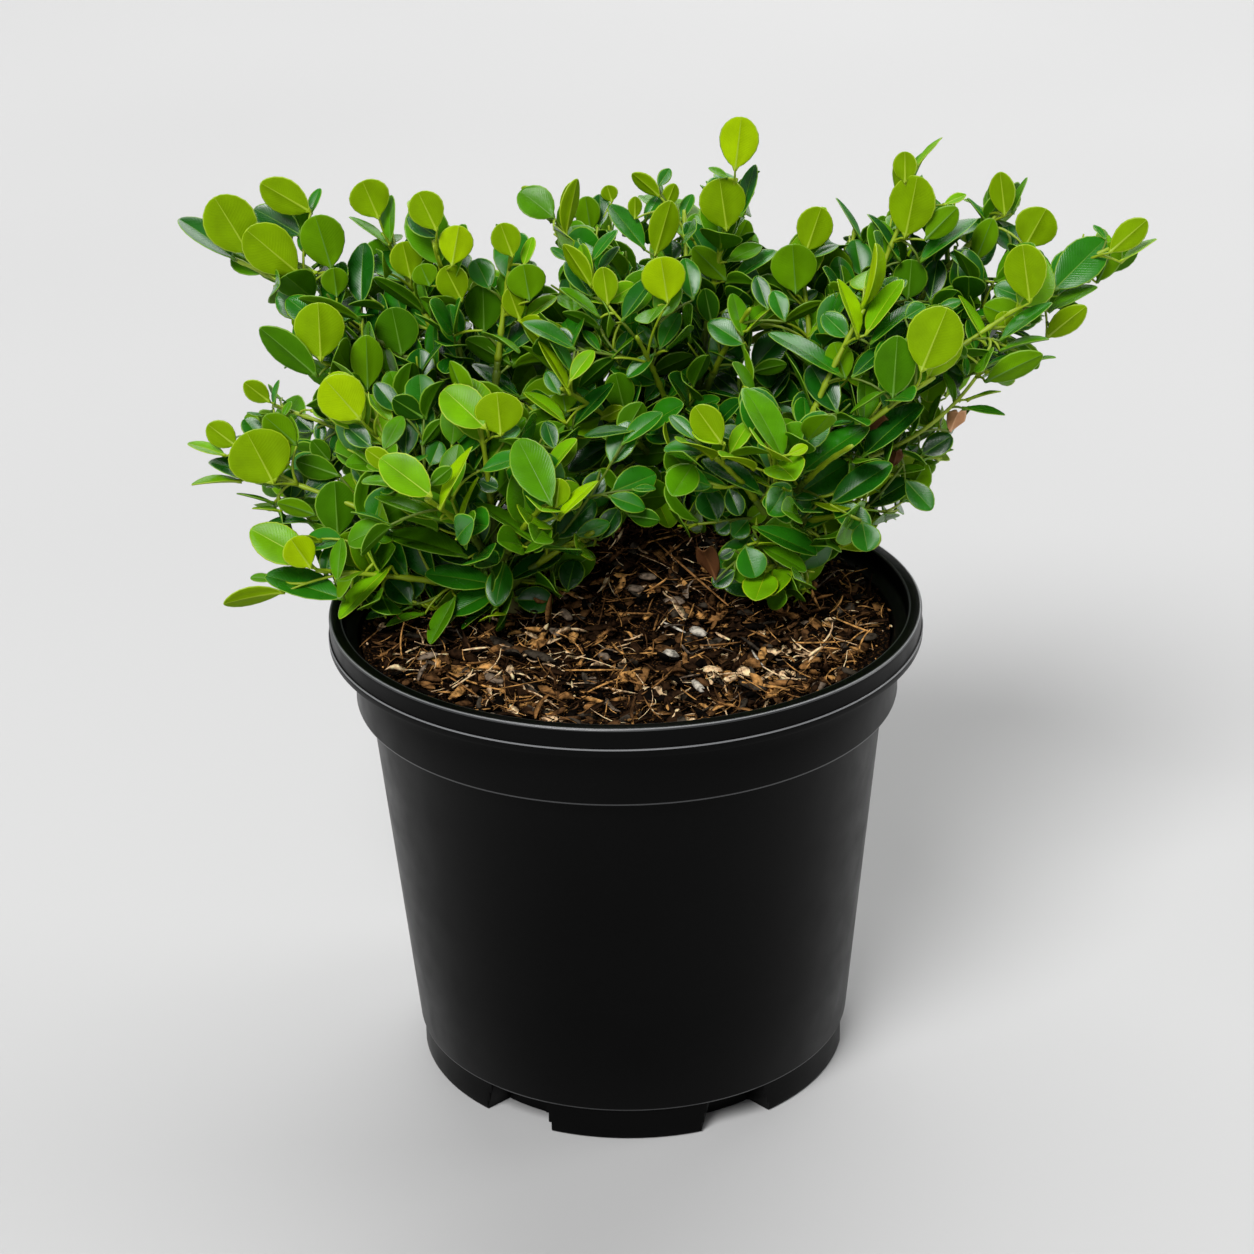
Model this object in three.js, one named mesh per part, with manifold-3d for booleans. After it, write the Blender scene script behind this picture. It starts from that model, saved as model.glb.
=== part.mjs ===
// A natal plum in its nursery pot: a low, broad shrub of leathery leaves in pairs, on several stems.
// Millimetres, +Z up. The floor is z = 0, the pot's axis is x = y = 0, and the front faces -Y.
import * as THREE from 'three';
import { mergeVertices } from 'three/addons/utils/BufferGeometryUtils.js';
import Module from 'manifold-3d';

const wasm = await Module();
wasm.setup();

// Driving dimensions of the pot
const POT_HEIGHT = 234;
const RIM_RADIUS = 141.5;
const RIM_WIDTH = 7.5;
const RIM_BAND = 13.5;
const COLLAR_RADIUS = 129.5;
const COLLAR_FOOT = 191;
const BODY_TOP_RADIUS = 123.4;
const BODY_FOOT_RADIUS = 107.2;
const FOOT_RADIUS = 105.6;
const FOOT_HEIGHT = 16;
const WALL = 2.5;
const POT_SIDES = 36;

// Driving dimensions of the gaps between the feet and of the drain holes over them
const FOOT_COUNT = 6;
const FOOT_TURN = -2.7;
const GAP_DEPTH = 13.5;
const GAP_WIDTH_LOW = 36;
const GAP_WIDTH_HIGH = 27;
const DRAIN_RADIUS = 4.5;

// Driving dimensions of the potting mix, which is heaped up round the stems
const MIX_LEVEL = 221;
const MOUND_HEIGHT = 24;
const MOUND_CENTRE = [8, 50];
const MOUND_SPREAD = 60;
const MIX_SIDES = 30;

// Driving dimensions of the shrub
const CLEAR = 0.3;
const CUT = CLEAR + 0.1;
const STEM_FOOT_RADIUS = 4.6;
const STEM_TOP_RADIUS = 3.5;
const FLARE = 2.6;
const FLARE_RISE = 4;
const SHOOT_RADIUS = 2.6;
const TIP_RADIUS = 1.1;
const TWIG_RADIUS = 1.3;
const LEAF_LENGTH = 41;
const LEAF_WIDTH = 31;
const LEAF_CUP = 1.8;
const PETIOLE = 0.025;
const LEAF_KEEL = 0.9;
const LEAF_ROOM = 2.5;
const NODE_GAP = 26;
const NODE_SIZE = 0.92;
const NODE_SPREAD_FOOT = 68;
const NODE_SPREAD_TIP = 42;
const TIP_PLACE = 0.985;
const TIP_SIZE = 0.74;
const TIP_SPREAD = 28;
const SIDE_LENGTH = 50;
const SIDE_SIZE = 0.8;
const SIDE_TIP_SPREAD = 34;
const SIDE_LOW_SPREAD = 55;
const SPACE_RADIUS = 75;
const SPACE_MARGIN = 0.7;

// The turns that a leaf tries to find room, and the shares of its full length that a side twig tries
const SWINGS = [0, 0.45, -0.45, 0.9, -0.9];
const VIGOURS = [1, 0.7, 0.45];

// The stems: name, foot on the potting mix [x, y], fork [x, y, z]
const STEMS = [
  ['left', [-55, 6], [-60, 2, 250]],
  ['back_left', [-38, 58], [-78, 68, 312]],
  ['centre', [32, 92], [36, 96, 292]],
  ['right', [74, 19], [74, 14, 276]],
  ['back_right', [76, 72], [104, 82, 292]],
];

// The shoots: name, stem, how far up that stem it forks, bare share, tip [x, y, height over the rim]
const SHOOTS = [
  ['low_left', 'left', 0.45, 0, [-144, -18, 26]],
  ['front_left', 'left', 1, 0, [-88, -60, 77]],
  ['front', 'left', 1, 0, [-35, -45, 67]],
  ['low_front', 'left', 0.5, 0, [-14, -12, 40]],
  ['left', 'left', 0.9, 0.35, [-169, 25, 58]],
  ['left_middle', 'left', 0.95, 0, [-120, 0, 91]],
  ['left_inner', 'left', 1, 0, [-65, -12, 97]],
  ['left_shoulder', 'back_left', 0.6, 0.3, [-142, 45, 107]],
  ['low_back_left', 'back_left', 0.3, 0.4, [-176, 120, 59]],
  ['far_left', 'back_left', 1, 0.35, [-186, 85, 147]],
  ['upper_left', 'back_left', 1, 0.25, [-114, 95, 155]],
  ['upper_left_front', 'back_left', 0.9, 0, [-87, 60, 161]],
  ['middle_left', 'back_left', 0.7, 0.35, [-51, 78, 149]],
  ['inner_left', 'centre', 0.25, 0, [-28, 20, 100]],
  ['inner_middle', 'centre', 0.45, 0, [8, 40, 118]],
  ['middle_back', 'centre', 0.6, 0.35, [-30, 122, 150]],
  ['back_left_top', 'centre', 0.35, 0.35, [-14, 172, 136]],
  ['back_top', 'centre', 0.8, 0.3, [34, 165, 143]],
  ['top', 'centre', 1, 0.25, [57, 78, 183]],
  ['top_low', 'centre', 0.9, 0, [62, 48, 128]],
  ['upper_right_middle', 'back_right', 0.8, 0, [89, 100, 138]],
  ['back_right', 'back_right', 0.9, 0, [120, 150, 138]],
  ['upper_right', 'back_right', 1, 0, [143, 95, 168]],
  ['tall_right', 'back_right', 1, 0.35, [193, 125, 154]],
  ['far_right', 'back_right', 0.95, 0.4, [238, 90, 141]],
  ['right_shoulder', 'right', 1, 0.35, [190, 48, 126]],
  ['right_inner', 'right', 1, 0, [114, 25, 134]],
  ['right_middle', 'right', 0.95, 0, [145, 2, 108]],
  ['low_right', 'right', 0.7, 0, [110, -20, 50]],
  ['right_front', 'right', 0.9, 0, [104, -38, 90]],
  ['front_right', 'right', 0.8, 0, [68, -52, 92]],
  ['front_middle', 'right', 0.65, 0, [42, -22, 80]],
  ['foot_right', 'right', 0.3, 0, [66, -16, 20]],
  ['back_low_left', 'back_left', 0.2, 0.35, [-90, 180, 70]],
  ['back_low', 'centre', 0.15, 0.35, [20, 208, 75]],
  ['back_low_right', 'back_right', 0.3, 0.35, [150, 185, 85]],
];

const COLOURS = {
  pot: 0x17181a,
  mix: 0x4a3320,
  bark: 0x6b5a34,
  leaf: 0x3f7d22,
};

const UP = new THREE.Vector3(0, 0, 1);

function radians(degrees) {
  return THREE.MathUtils.degToRad(degrees);
}

// A seeded random number generator: equal seeds give equal plants
function makeRandom(seed) {
  let state = (seed * 7919 + 104729) % 4294967296;
  return () => {
    state = (state * 1664525 + 1013904223) % 4294967296;
    return state / 4294967296;
  };
}

// A closed solid from a geometry: shared corners are merged and triangles without area left out
function toSolid(geometry) {
  const bare = geometry.clone();
  bare.deleteAttribute('normal');
  bare.deleteAttribute('uv');
  const merged = mergeVertices(bare, 1e-4);
  const corners = merged.index.array;
  const kept = [];
  for (let i = 0; i < corners.length; i += 3) {
    const [a, b, c] = [corners[i], corners[i + 1], corners[i + 2]];
    if (a !== b && b !== c && c !== a) kept.push(a, b, c);
  }
  return new wasm.Manifold(new wasm.Mesh({
    numProp: 3,
    vertProperties: new Float32Array(merged.attributes.position.array),
    triVerts: new Uint32Array(kept),
  }));
}

function toGeometry(solid) {
  const mesh = solid.getMesh();
  const geometry = new THREE.BufferGeometry();
  geometry.setAttribute('position', new THREE.BufferAttribute(new Float32Array(mesh.vertProperties), 3));
  geometry.setIndex(new THREE.BufferAttribute(new Uint32Array(mesh.triVerts), 1));
  geometry.computeVertexNormals();
  return geometry;
}

// The largest body of a solid: scraps that a cut leaves loose are dropped
function largestBody(solid) {
  const bodies = solid.decompose();
  return bodies.reduce((best, body) => (body.volume() > best.volume() ? body : best));
}

// A lathe about Z from [radius, height] points that start and end on the axis
function turned(profile, sides) {
  const points = profile.map(([radius, height]) => new THREE.Vector2(radius, height));
  const geometry = new THREE.LatheGeometry(points, sides);
  geometry.rotateX(Math.PI / 2);
  return toSolid(geometry);
}

// The pot's outer wall from the floor up, with its foot, body, collar and rolled rim
function outerProfile() {
  const underRim = POT_HEIGHT - RIM_BAND;
  return [
    [0, 0],
    [FOOT_RADIUS, 0],
    [FOOT_RADIUS - 0.4, FOOT_HEIGHT],
    [BODY_FOOT_RADIUS, FOOT_HEIGHT + 0.8],
    [BODY_TOP_RADIUS, COLLAR_FOOT - 0.6],
    [COLLAR_RADIUS + 0.4, COLLAR_FOOT],
    [COLLAR_RADIUS, underRim],
    [RIM_RADIUS - 0.6, underRim + 0.4],
    [RIM_RADIUS, underRim + 2],
    [RIM_RADIUS - 0.3, POT_HEIGHT - 2],
    [RIM_RADIUS - 1.6, POT_HEIGHT],
    [0, POT_HEIGHT],
  ];
}

// The room inside the pot's wall, drawn in by a clearance, up to a top that may stand above the rim
function roomProfile(inset, floor, top) {
  const rimInside = RIM_RADIUS - RIM_WIDTH - inset;
  const ledge = POT_HEIGHT - RIM_BAND + WALL;
  const points = [
    [0, floor + inset],
    [FOOT_RADIUS - WALL - 0.6 - inset, floor + inset],
    [BODY_FOOT_RADIUS - WALL - inset, FOOT_HEIGHT + WALL + inset],
    [BODY_TOP_RADIUS - WALL - inset, COLLAR_FOOT - 1.5 + inset],
    [COLLAR_RADIUS - WALL - inset, COLLAR_FOOT + WALL],
    [COLLAR_RADIUS - WALL - inset, Math.min(ledge, top)],
  ];
  if (top > ledge) points.push([rimInside - 1, ledge + 1.5], [rimInside, top]);
  points.push([0, top]);
  return points;
}

// One wedge cut between two feet, grown by a margin where a wall or a clearance goes round it
function footGap(turn, margin) {
  const low = GAP_WIDTH_LOW / 2 + margin;
  const high = GAP_WIDTH_HIGH / 2 + margin;
  const top = FOOT_HEIGHT - 0.5 + margin;
  const outline = new THREE.Shape([
    new THREE.Vector2(-low, -1),
    new THREE.Vector2(low, -1),
    new THREE.Vector2(high, top),
    new THREE.Vector2(-high, top),
  ]);
  const wedge = new THREE.ExtrudeGeometry(outline, { depth: GAP_DEPTH + margin + 10, bevelEnabled: false });
  wedge.rotateX(Math.PI / 2);
  wedge.translate(0, -(FOOT_RADIUS - GAP_DEPTH - margin), 0);
  wedge.rotateZ(turn);
  return toSolid(wedge);
}

function gapTurns() {
  const pitch = 360 / FOOT_COUNT;
  return Array.from({ length: FOOT_COUNT }, (_, i) => radians(FOOT_TURN + pitch * (i + 0.5)));
}

function drainHole(turn) {
  const hole = new THREE.CylinderGeometry(DRAIN_RADIUS, DRAIN_RADIUS, 3 * WALL, 10);
  hole.rotateX(Math.PI / 2);
  hole.translate(0, -(FOOT_RADIUS - GAP_DEPTH / 2), FOOT_HEIGHT + WALL / 2);
  hole.rotateZ(turn);
  return toSolid(hole);
}

function makePot() {
  let room = turned(roomProfile(0, WALL, POT_HEIGHT + 5), POT_SIDES);
  for (const turn of gapTurns()) room = room.subtract(footGap(turn, WALL));
  let pot = turned(outerProfile(), POT_SIDES).subtract(room);
  for (const turn of gapTurns()) pot = pot.subtract(footGap(turn, 0)).subtract(drainHole(turn));
  return pot;
}

// The level of the potting mix: flat at the wall and heaped up round the stems
function mixLevel(x, y) {
  const away = Math.hypot(x - MOUND_CENTRE[0], y - MOUND_CENTRE[1]) / MOUND_SPREAD;
  return MIX_LEVEL + MOUND_HEIGHT * Math.exp(-away * away);
}

function makeMix(feet) {
  const profile = roomProfile(CLEAR + 0.2, WALL, MIX_LEVEL).slice(0, -1);
  const wallRadius = profile.at(-1)[0];
  for (const share of [0.8, 0.6, 0.4, 0.2]) profile.push([wallRadius * share, MIX_LEVEL]);
  profile.push([0, MIX_LEVEL]);
  const points = profile.map(([radius, height]) => new THREE.Vector2(radius, height));
  const geometry = new THREE.LatheGeometry(points, MIX_SIDES);
  geometry.rotateX(Math.PI / 2);
  const place = geometry.attributes.position;
  for (let i = 0; i < place.count; i += 1) {
    const isTop = place.getZ(i) > MIX_LEVEL - 0.01;
    if (isTop) place.setZ(i, mixLevel(place.getX(i), place.getY(i)));
  }
  let mix = toSolid(geometry);
  for (const turn of gapTurns()) mix = mix.subtract(footGap(turn, WALL + CUT));
  for (const foot of feet) mix = mix.subtract(footSeat(foot));
  return mix;
}

// The flat seat in the potting mix under one stem's cut foot
function footSeat(foot) {
  const radius = STEM_FOOT_RADIUS + FLARE + 1;
  const seat = new THREE.CylinderGeometry(radius, radius, 30, 8);
  seat.rotateX(Math.PI / 2);
  seat.translate(foot.x, foot.y, foot.z - CLEAR + 15);
  return toSolid(seat);
}

// A round limb: a unit cylinder bent along part of a curve, with its radius given along the way
function bentLimb(curve, from, to, radiusAt, sides, steps) {
  const limb = new THREE.CylinderGeometry(1, 1, 1, sides, steps);
  const place = limb.attributes.position;
  for (let i = 0; i < place.count; i += 1) {
    const share = place.getY(i) + 0.5;
    const at = from + (to - from) * share;
    const { across, over } = frameAlong(curve, at);
    const radius = radiusAt(at);
    const spot = curve.getPoint(at);
    spot.addScaledVector(across, place.getX(i) * radius);
    spot.addScaledVector(over, -place.getZ(i) * radius);
    place.setXYZ(i, spot.x, spot.y, spot.z);
  }
  return toSolid(limb);
}

// The direction along a curve and the two directions across it
function frameAlong(curve, at) {
  const along = curve.getTangent(at).normalize();
  const start = new THREE.Vector3(0.31, -0.95, 0);
  const across = new THREE.Vector3().crossVectors(start, along).normalize();
  const over = new THREE.Vector3().crossVectors(along, across);
  return { along, across, over };
}

function makeStems() {
  return STEMS.map(([name, [x, y], fork]) => {
    const foot = new THREE.Vector3(x, y, mixLevel(x, y) + CLEAR);
    const top = new THREE.Vector3(...fork);
    const bend = new THREE.Vector3(x * 0.6 + top.x * 0.4, y * 0.6 + top.y * 0.4, (foot.z + top.z) / 2);
    const curve = new THREE.QuadraticBezierCurve3(foot, bend, top);
    const height = top.z - foot.z;
    const radiusAt = (at) => {
      const taper = STEM_FOOT_RADIUS + (STEM_TOP_RADIUS - STEM_FOOT_RADIUS) * at;
      return taper + FLARE * Math.exp((-at * height) / FLARE_RISE);
    };
    return { name, foot, curve, radiusAt, from: 0, to: 1 };
  });
}

function stemSolid(stem, extra) {
  const bent = bentLimb(stem.curve, 0, 1, (at) => stem.radiusAt(at) + extra, 7, 5);
  return extra > 0 ? bent : bent.subtract(groundBlock(stem.foot));
}

// A block whose top is the flat cut at the stem's foot
function groundBlock(foot) {
  const block = new THREE.BoxGeometry(40, 40, 20);
  block.translate(foot.x, foot.y, foot.z - 10);
  return toSolid(block);
}

// A shoot rises from a fork on its stem and arches over to its tip
function makeShoots(stems) {
  return SHOOTS.map(([name, stemName, fork, bare, [x, y, rise]], index) => {
    const stem = stems.find((candidate) => candidate.name === stemName);
    const root = stem.curve.getPoint(fork);
    const tip = new THREE.Vector3(x, y, POT_HEIGHT + rise);
    const bend = new THREE.Vector3(
      root.x + (tip.x - root.x) * 0.45,
      root.y + (tip.y - root.y) * 0.45,
      root.z + (tip.z - root.z) * 0.6,
    );
    const curve = new THREE.QuadraticBezierCurve3(root, bend, tip);
    const radiusAt = (at) => SHOOT_RADIUS + (TIP_RADIUS - SHOOT_RADIUS) * at;
    return { name, index, stem, bare, curve, radiusAt, length: curve.getLength() };
  });
}

function polyline(curve, from, to, steps) {
  return Array.from({ length: steps + 1 }, (_, i) => curve.getPoint(from + ((to - from) * i) / steps));
}

function distanceTo(point, line) {
  const segment = new THREE.Line3();
  const nearest = new THREE.Vector3();
  let best = Infinity;
  for (let i = 0; i + 1 < line.length; i += 1) {
    segment.set(line[i], line[i + 1]);
    segment.closestPointToPoint(point, true, nearest);
    best = Math.min(best, nearest.distanceTo(point));
  }
  return best;
}

// Whether a point is clear of the potting mix and the pot
function clearOfPot(point) {
  const out = Math.hypot(point.x, point.y);
  if (out > RIM_RADIUS + 2) return point.z > POT_HEIGHT - 90;
  if (out > COLLAR_RADIUS - WALL - 2) return point.z > POT_HEIGHT + 1.5;
  return point.z > mixLevel(point.x, point.y) + 1.5;
}

// The space of each mass: all that lies nearer to its own shoot than to any other one
function makeSpace(shoots, stems) {
  const axes = shoots.map((shoot) => polyline(shoot.curve, shoot.bare, 1, 8));
  const limbs = [
    ...stems.map((stem) => ({ line: polyline(stem.curve, 0, 1, 6), radius: STEM_FOOT_RADIUS + 1 })),
    ...shoots.filter((shoot) => shoot.bare > 0).map((shoot) => (
      { line: polyline(shoot.curve, 0, shoot.bare, 4), radius: SHOOT_RADIUS }
    )),
  ];
  return (point, index) => {
    if (!clearOfPot(point)) return false;
    const own = distanceTo(point, axes[index]);
    if (own > SPACE_RADIUS) return false;
    if (limbs.some(({ line, radius }) => distanceTo(point, line) < radius + SPACE_MARGIN)) return false;
    return axes.every((axis, i) => i === index || distanceTo(point, axis) > own + 2 * SPACE_MARGIN);
  };
}

// One leaf: a cupped blade, pointed at its root, with a keel that thickens the foot of its midrib
function leafGeometry({ root, along, face, length, width }) {
  const across = new THREE.Vector3().crossVectors(face, along);
  const spots = [
    [0, 0, 0],
    [0.1, -PETIOLE, 0],
    [0.33, -0.42, LEAF_CUP],
    [0.74, -0.43, LEAF_CUP],
    [1, 0, 0],
    [0.74, 0.43, LEAF_CUP],
    [0.33, 0.42, LEAF_CUP],
    [0.1, PETIOLE, 0],
    [0.5, 0, 0.1],
    [0.12, 0, -LEAF_KEEL],
  ].map(([out, side, up]) => root.clone()
    .addScaledVector(along, out * length)
    .addScaledVector(across, side * width)
    .addScaledVector(face, up));
  const rimCorners = 8;
  const middle = 8;
  const keel = 9;
  const corners = [];
  for (let i = 0; i < rimCorners; i += 1) {
    const next = (i + 1) % rimCorners;
    corners.push(i, next, middle, next, i, keel);
  }
  const geometry = new THREE.BufferGeometry();
  const flat = spots.flatMap((spot) => spot.toArray());
  geometry.setAttribute('position', new THREE.BufferAttribute(new Float32Array(flat), 3));
  geometry.setIndex(corners);
  return geometry;
}

// Points spread over a leaf's blade, for testing where it reaches
function bladePoints({ root, along, face, length, width }) {
  const across = new THREE.Vector3().crossVectors(face, along);
  const points = [];
  for (const out of [0.35, 0.5, 0.65, 0.8, 0.95]) {
    const half = 0.46 * width * Math.sqrt(Math.max(0, 1 - (2 * out - 1.1) ** 2));
    for (const side of [-1, -0.5, 0, 0.5, 1]) {
      points.push(root.clone().addScaledVector(along, out * length).addScaledVector(across, side * half));
    }
  }
  return points;
}

// A leaf on a twig at a share of its length, turned about it, its upper side to the twig's end and the sky
function leafOn(curve, at, turn, spread, size) {
  const { along, across, over } = frameAlong(curve, at);
  const radial = across.clone().multiplyScalar(Math.cos(turn)).addScaledVector(over, Math.sin(turn));
  const direction = along.clone().multiplyScalar(Math.cos(spread));
  direction.addScaledVector(radial, Math.sin(spread));
  const face = along.clone().multiplyScalar(0.8).addScaledVector(UP, 0.5);
  face.addScaledVector(direction, -face.dot(direction)).normalize();
  return {
    root: curve.getPoint(at),
    along: direction,
    face,
    length: LEAF_LENGTH * size,
    width: LEAF_WIDTH * size,
  };
}

// One mass of foliage: its shoot, the side twigs in the leaves' axils, and the leaves in crossed pairs
function makeMass(shoot, shoots, fits) {
  const random = makeRandom(shoot.index + 1);
  const start = shoot.bare > 0 ? shoot.bare + CLEAR / shoot.length : 0;
  const twigs = [];
  const leaves = [];
  const blades = [];
  const addLeaf = (curve, at, turn, spread, size) => {
    for (const swing of SWINGS) {
      const scale = size * (0.9 + 0.2 * random());
      const leaf = leafOn(curve, at, turn + swing, spread + (random() - 0.5) * 0.25, scale);
      const points = bladePoints(leaf);
      const isFree = points.every((point) => fits(point, shoot.index))
        && !blades.some((blade) => nearestPoints(blade, points) < LEAF_ROOM);
      if (!isFree) continue;
      leaves.push(leaf);
      blades.push(points);
      return;
    }
  };
  const addPair = (curve, at, turn, spread, size) => {
    addLeaf(curve, at, turn, spread, size);
    addLeaf(curve, at, turn + Math.PI, spread, size);
  };
  const firstTurn = random() * Math.PI;
  const nodes = Math.max(2, Math.round((shoot.length * (1 - start)) / NODE_GAP));
  addPair(shoot.curve, TIP_PLACE, firstTurn + (nodes * Math.PI) / 2, radians(TIP_SPREAD), TIP_SIZE);
  for (let node = nodes - 1; node >= 0; node -= 1) {
    const share = (node + 0.4) / nodes;
    const at = start + (1 - start) * share;
    const turn = firstTurn + (node * Math.PI) / 2;
    const spread = NODE_SPREAD_FOOT + (NODE_SPREAD_TIP - NODE_SPREAD_FOOT) * share;
    addPair(shoot.curve, at, turn, radians(spread), NODE_SIZE);
    if (node === nodes - 1) continue;
    for (const vigour of VIGOURS) {
      const side = node % 4 < 2 ? 0 : Math.PI;
      const twig = sideTwig(shoot, at, turn + side, vigour * (1 - 0.5 * share), random);
      if (!polyline(twig, 0.25, 1, 4).every((point) => fits(point, shoot.index))) continue;
      twigs.push(bentLimb(twig, 0, 1, (along) => TWIG_RADIUS * (1 - 0.35 * along), 3, 1));
      addPair(twig, 0.96, turn, radians(SIDE_TIP_SPREAD), SIDE_SIZE);
      if (vigour > 0.5) addPair(twig, 0.55, turn + Math.PI / 2, radians(SIDE_LOW_SPREAD), SIDE_SIZE);
      break;
    }
  }
  let solid = bentLimb(shoot.curve, start, 1, shoot.radiusAt, 3, 4);
  for (const twig of twigs) solid = solid.add(twig);
  for (const leaf of leaves) solid = solid.add(toSolid(leafGeometry(leaf)));
  for (const limb of limbsBefore(shoot, shoots)) solid = solid.subtract(limb);
  return largestBody(solid);
}

function nearestPoints(blade, points) {
  let best = Infinity;
  for (const point of points) for (const other of blade) best = Math.min(best, point.distanceTo(other));
  return best;
}

// A side twig leaves its shoot at about forty degrees and turns up towards the light
function sideTwig(shoot, at, turn, vigour, random) {
  const { along, across, over } = frameAlong(shoot.curve, at);
  const radial = across.clone().multiplyScalar(Math.cos(turn)).addScaledVector(over, Math.sin(turn));
  const length = SIDE_LENGTH * vigour * (0.8 + 0.4 * random());
  const root = shoot.curve.getPoint(at);
  const heading = along.clone().multiplyScalar(0.7).addScaledVector(radial, 0.75).normalize();
  const bend = root.clone().addScaledVector(heading, length * 0.5);
  const lifted = heading.addScaledVector(UP, 0.35).normalize();
  const tip = bend.clone().addScaledVector(lifted, length * 0.5);
  return new THREE.QuadraticBezierCurve3(root, bend, tip);
}

function boughSolid(shoot, extra) {
  return bentLimb(shoot.curve, 0, shoot.bare, (at) => shoot.radiusAt(at) + extra, 6, 3);
}

// The limbs that a mass's foot is cut clear of: its stem, that stem's boughs and the shoots that fork first
function limbsBefore(shoot, shoots) {
  const siblings = shoots.filter((other) => other !== shoot && other.stem === shoot.stem);
  const limbs = siblings.filter((other) => other.bare > 0).map((other) => boughSolid(other, CUT));
  for (const other of siblings.filter((sibling) => sibling.bare === 0 && sibling.index < shoot.index)) {
    limbs.push(bentLimb(other.curve, 0, 0.35, (at) => other.radiusAt(at) + CUT, 3, 2));
  }
  if (shoot.bare === 0) limbs.push(stemSolid(shoot.stem, CUT));
  return limbs;
}

const plant = new THREE.Group();

function addPart(name, solid, colour, roughness) {
  const material = new THREE.MeshStandardMaterial({ color: colour, roughness, metalness: 0 });
  const mesh = new THREE.Mesh(toGeometry(solid), material);
  mesh.name = name;
  plant.add(mesh);
}

const stems = makeStems();
const shoots = makeShoots(stems);
const fits = makeSpace(shoots, stems);

addPart('pot', makePot(), COLOURS.pot, 0.5);
addPart('potting_mix', makeMix(stems.map((stem) => stem.foot)), COLOURS.mix, 0.95);
for (const stem of stems) addPart(`stem_${stem.name}`, stemSolid(stem, 0), COLOURS.bark, 0.8);

// Boughs are cut clear of their stem and of the boughs that forked off it before them
const forked = [];
for (const shoot of shoots.filter((candidate) => candidate.bare > 0)) {
  let bough = boughSolid(shoot, 0).subtract(stemSolid(shoot.stem, CUT));
  for (const earlier of forked) bough = bough.subtract(boughSolid(earlier, CUT));
  addPart(`bough_${shoot.name}`, largestBody(bough), COLOURS.bark, 0.8);
  forked.push(shoot);
}

for (const shoot of shoots) {
  addPart(`foliage_${shoot.name}`, makeMass(shoot, shoots, fits), COLOURS.leaf, 0.55);
}

export default plant;
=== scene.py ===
# Looks of a potted natal plum: a low shrub of leathery leaves in pairs, in a round nursery pot.
# Shapes are worked out in millimetres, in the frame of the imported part, and written in metres.
import math
import random
from functools import partial

import bpy
import numpy as np
from mathutils import Matrix, Vector, noise


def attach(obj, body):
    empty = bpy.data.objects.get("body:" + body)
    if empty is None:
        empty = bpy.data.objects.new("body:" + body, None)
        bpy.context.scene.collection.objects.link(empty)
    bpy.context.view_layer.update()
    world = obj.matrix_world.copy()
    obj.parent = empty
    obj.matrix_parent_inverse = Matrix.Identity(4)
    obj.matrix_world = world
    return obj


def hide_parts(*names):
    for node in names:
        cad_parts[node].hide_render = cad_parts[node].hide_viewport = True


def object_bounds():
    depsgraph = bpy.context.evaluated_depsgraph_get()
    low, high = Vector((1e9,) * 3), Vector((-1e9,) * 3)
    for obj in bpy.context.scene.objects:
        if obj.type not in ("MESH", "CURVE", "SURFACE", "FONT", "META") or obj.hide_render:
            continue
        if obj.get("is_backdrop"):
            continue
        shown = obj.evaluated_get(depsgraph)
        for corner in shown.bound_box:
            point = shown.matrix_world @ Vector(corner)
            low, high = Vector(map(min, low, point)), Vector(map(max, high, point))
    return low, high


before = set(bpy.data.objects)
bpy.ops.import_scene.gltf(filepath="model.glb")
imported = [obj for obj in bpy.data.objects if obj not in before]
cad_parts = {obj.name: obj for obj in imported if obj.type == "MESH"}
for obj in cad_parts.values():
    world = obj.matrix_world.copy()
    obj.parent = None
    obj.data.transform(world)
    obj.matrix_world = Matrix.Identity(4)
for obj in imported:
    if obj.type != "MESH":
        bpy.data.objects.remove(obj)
cad_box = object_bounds()

MM = 0.001

# Camera, fitted to the pot's rim, collar, foot and feet
VIEW_PLACE = (0.6, -1278.1, 791.2)
VIEW_PITCH = 24.09
VIEW_ROLL = -1.191
VIEW_LENS = 84.03
SENSOR_WIDTH = 36.0
PICTURE_SIZE = 1254

# Pot, as in the solids
POT_HEIGHT = 234.0
RIM_RADIUS = 141.5
RIM_WIDTH = 7.5
RIM_BAND = 13.5
RIM_LIP = 4.0
COLLAR_RADIUS = 129.5
COLLAR_FOOT = 191.0
BODY_TOP_RADIUS = 123.4
BODY_FOOT_RADIUS = 107.2
FOOT_RADIUS = 105.6
FOOT_HEIGHT = 16.0
WALL = 2.5
FOOT_COUNT = 6
FOOT_TURN = -2.7
GAP_DEPTH = 13.5
GAP_WIDTH_LOW = 36.0
GAP_WIDTH_HIGH = 27.0
GAP_EDGE = 0.7
FLOOR_RADIUS = 70.0
POT_SIDES = 480
SHARP_EDGE = 40.0

# Potting mix, as in the solids
MIX_LEVEL = 221.0
MOUND_HEIGHT = 24.0
MOUND_CENTRE = (8.0, 50.0)
MOUND_SPREAD = 60.0
MIX_WALL_RADIUS = 126.0
MIX_SIDES = 180
MIX_RINGS = 60
MIX_TOP_RADIUS = 2.0
MIX_FLOOR = 24.0
# The body of the mix lies this far under its level, because the loose bark covers it
BED_SINK = 1.5
# The relief of its top: the height and frequency of each wave, and the slice of noise that it is cut from
MIX_WAVES = [(3.0, 0.035, 0.3), (1.6, 0.16, 4.1)]
# The mix is heaped up towards the pot's wall: by how much, and between which radii
HEAP_HEIGHT = 2.5
HEAP_RADII = (60, 125)
# Depths from the camera between which every line of sight meets the mix
SIGHT_DEPTHS = (1240.0, 1560.0)

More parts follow.
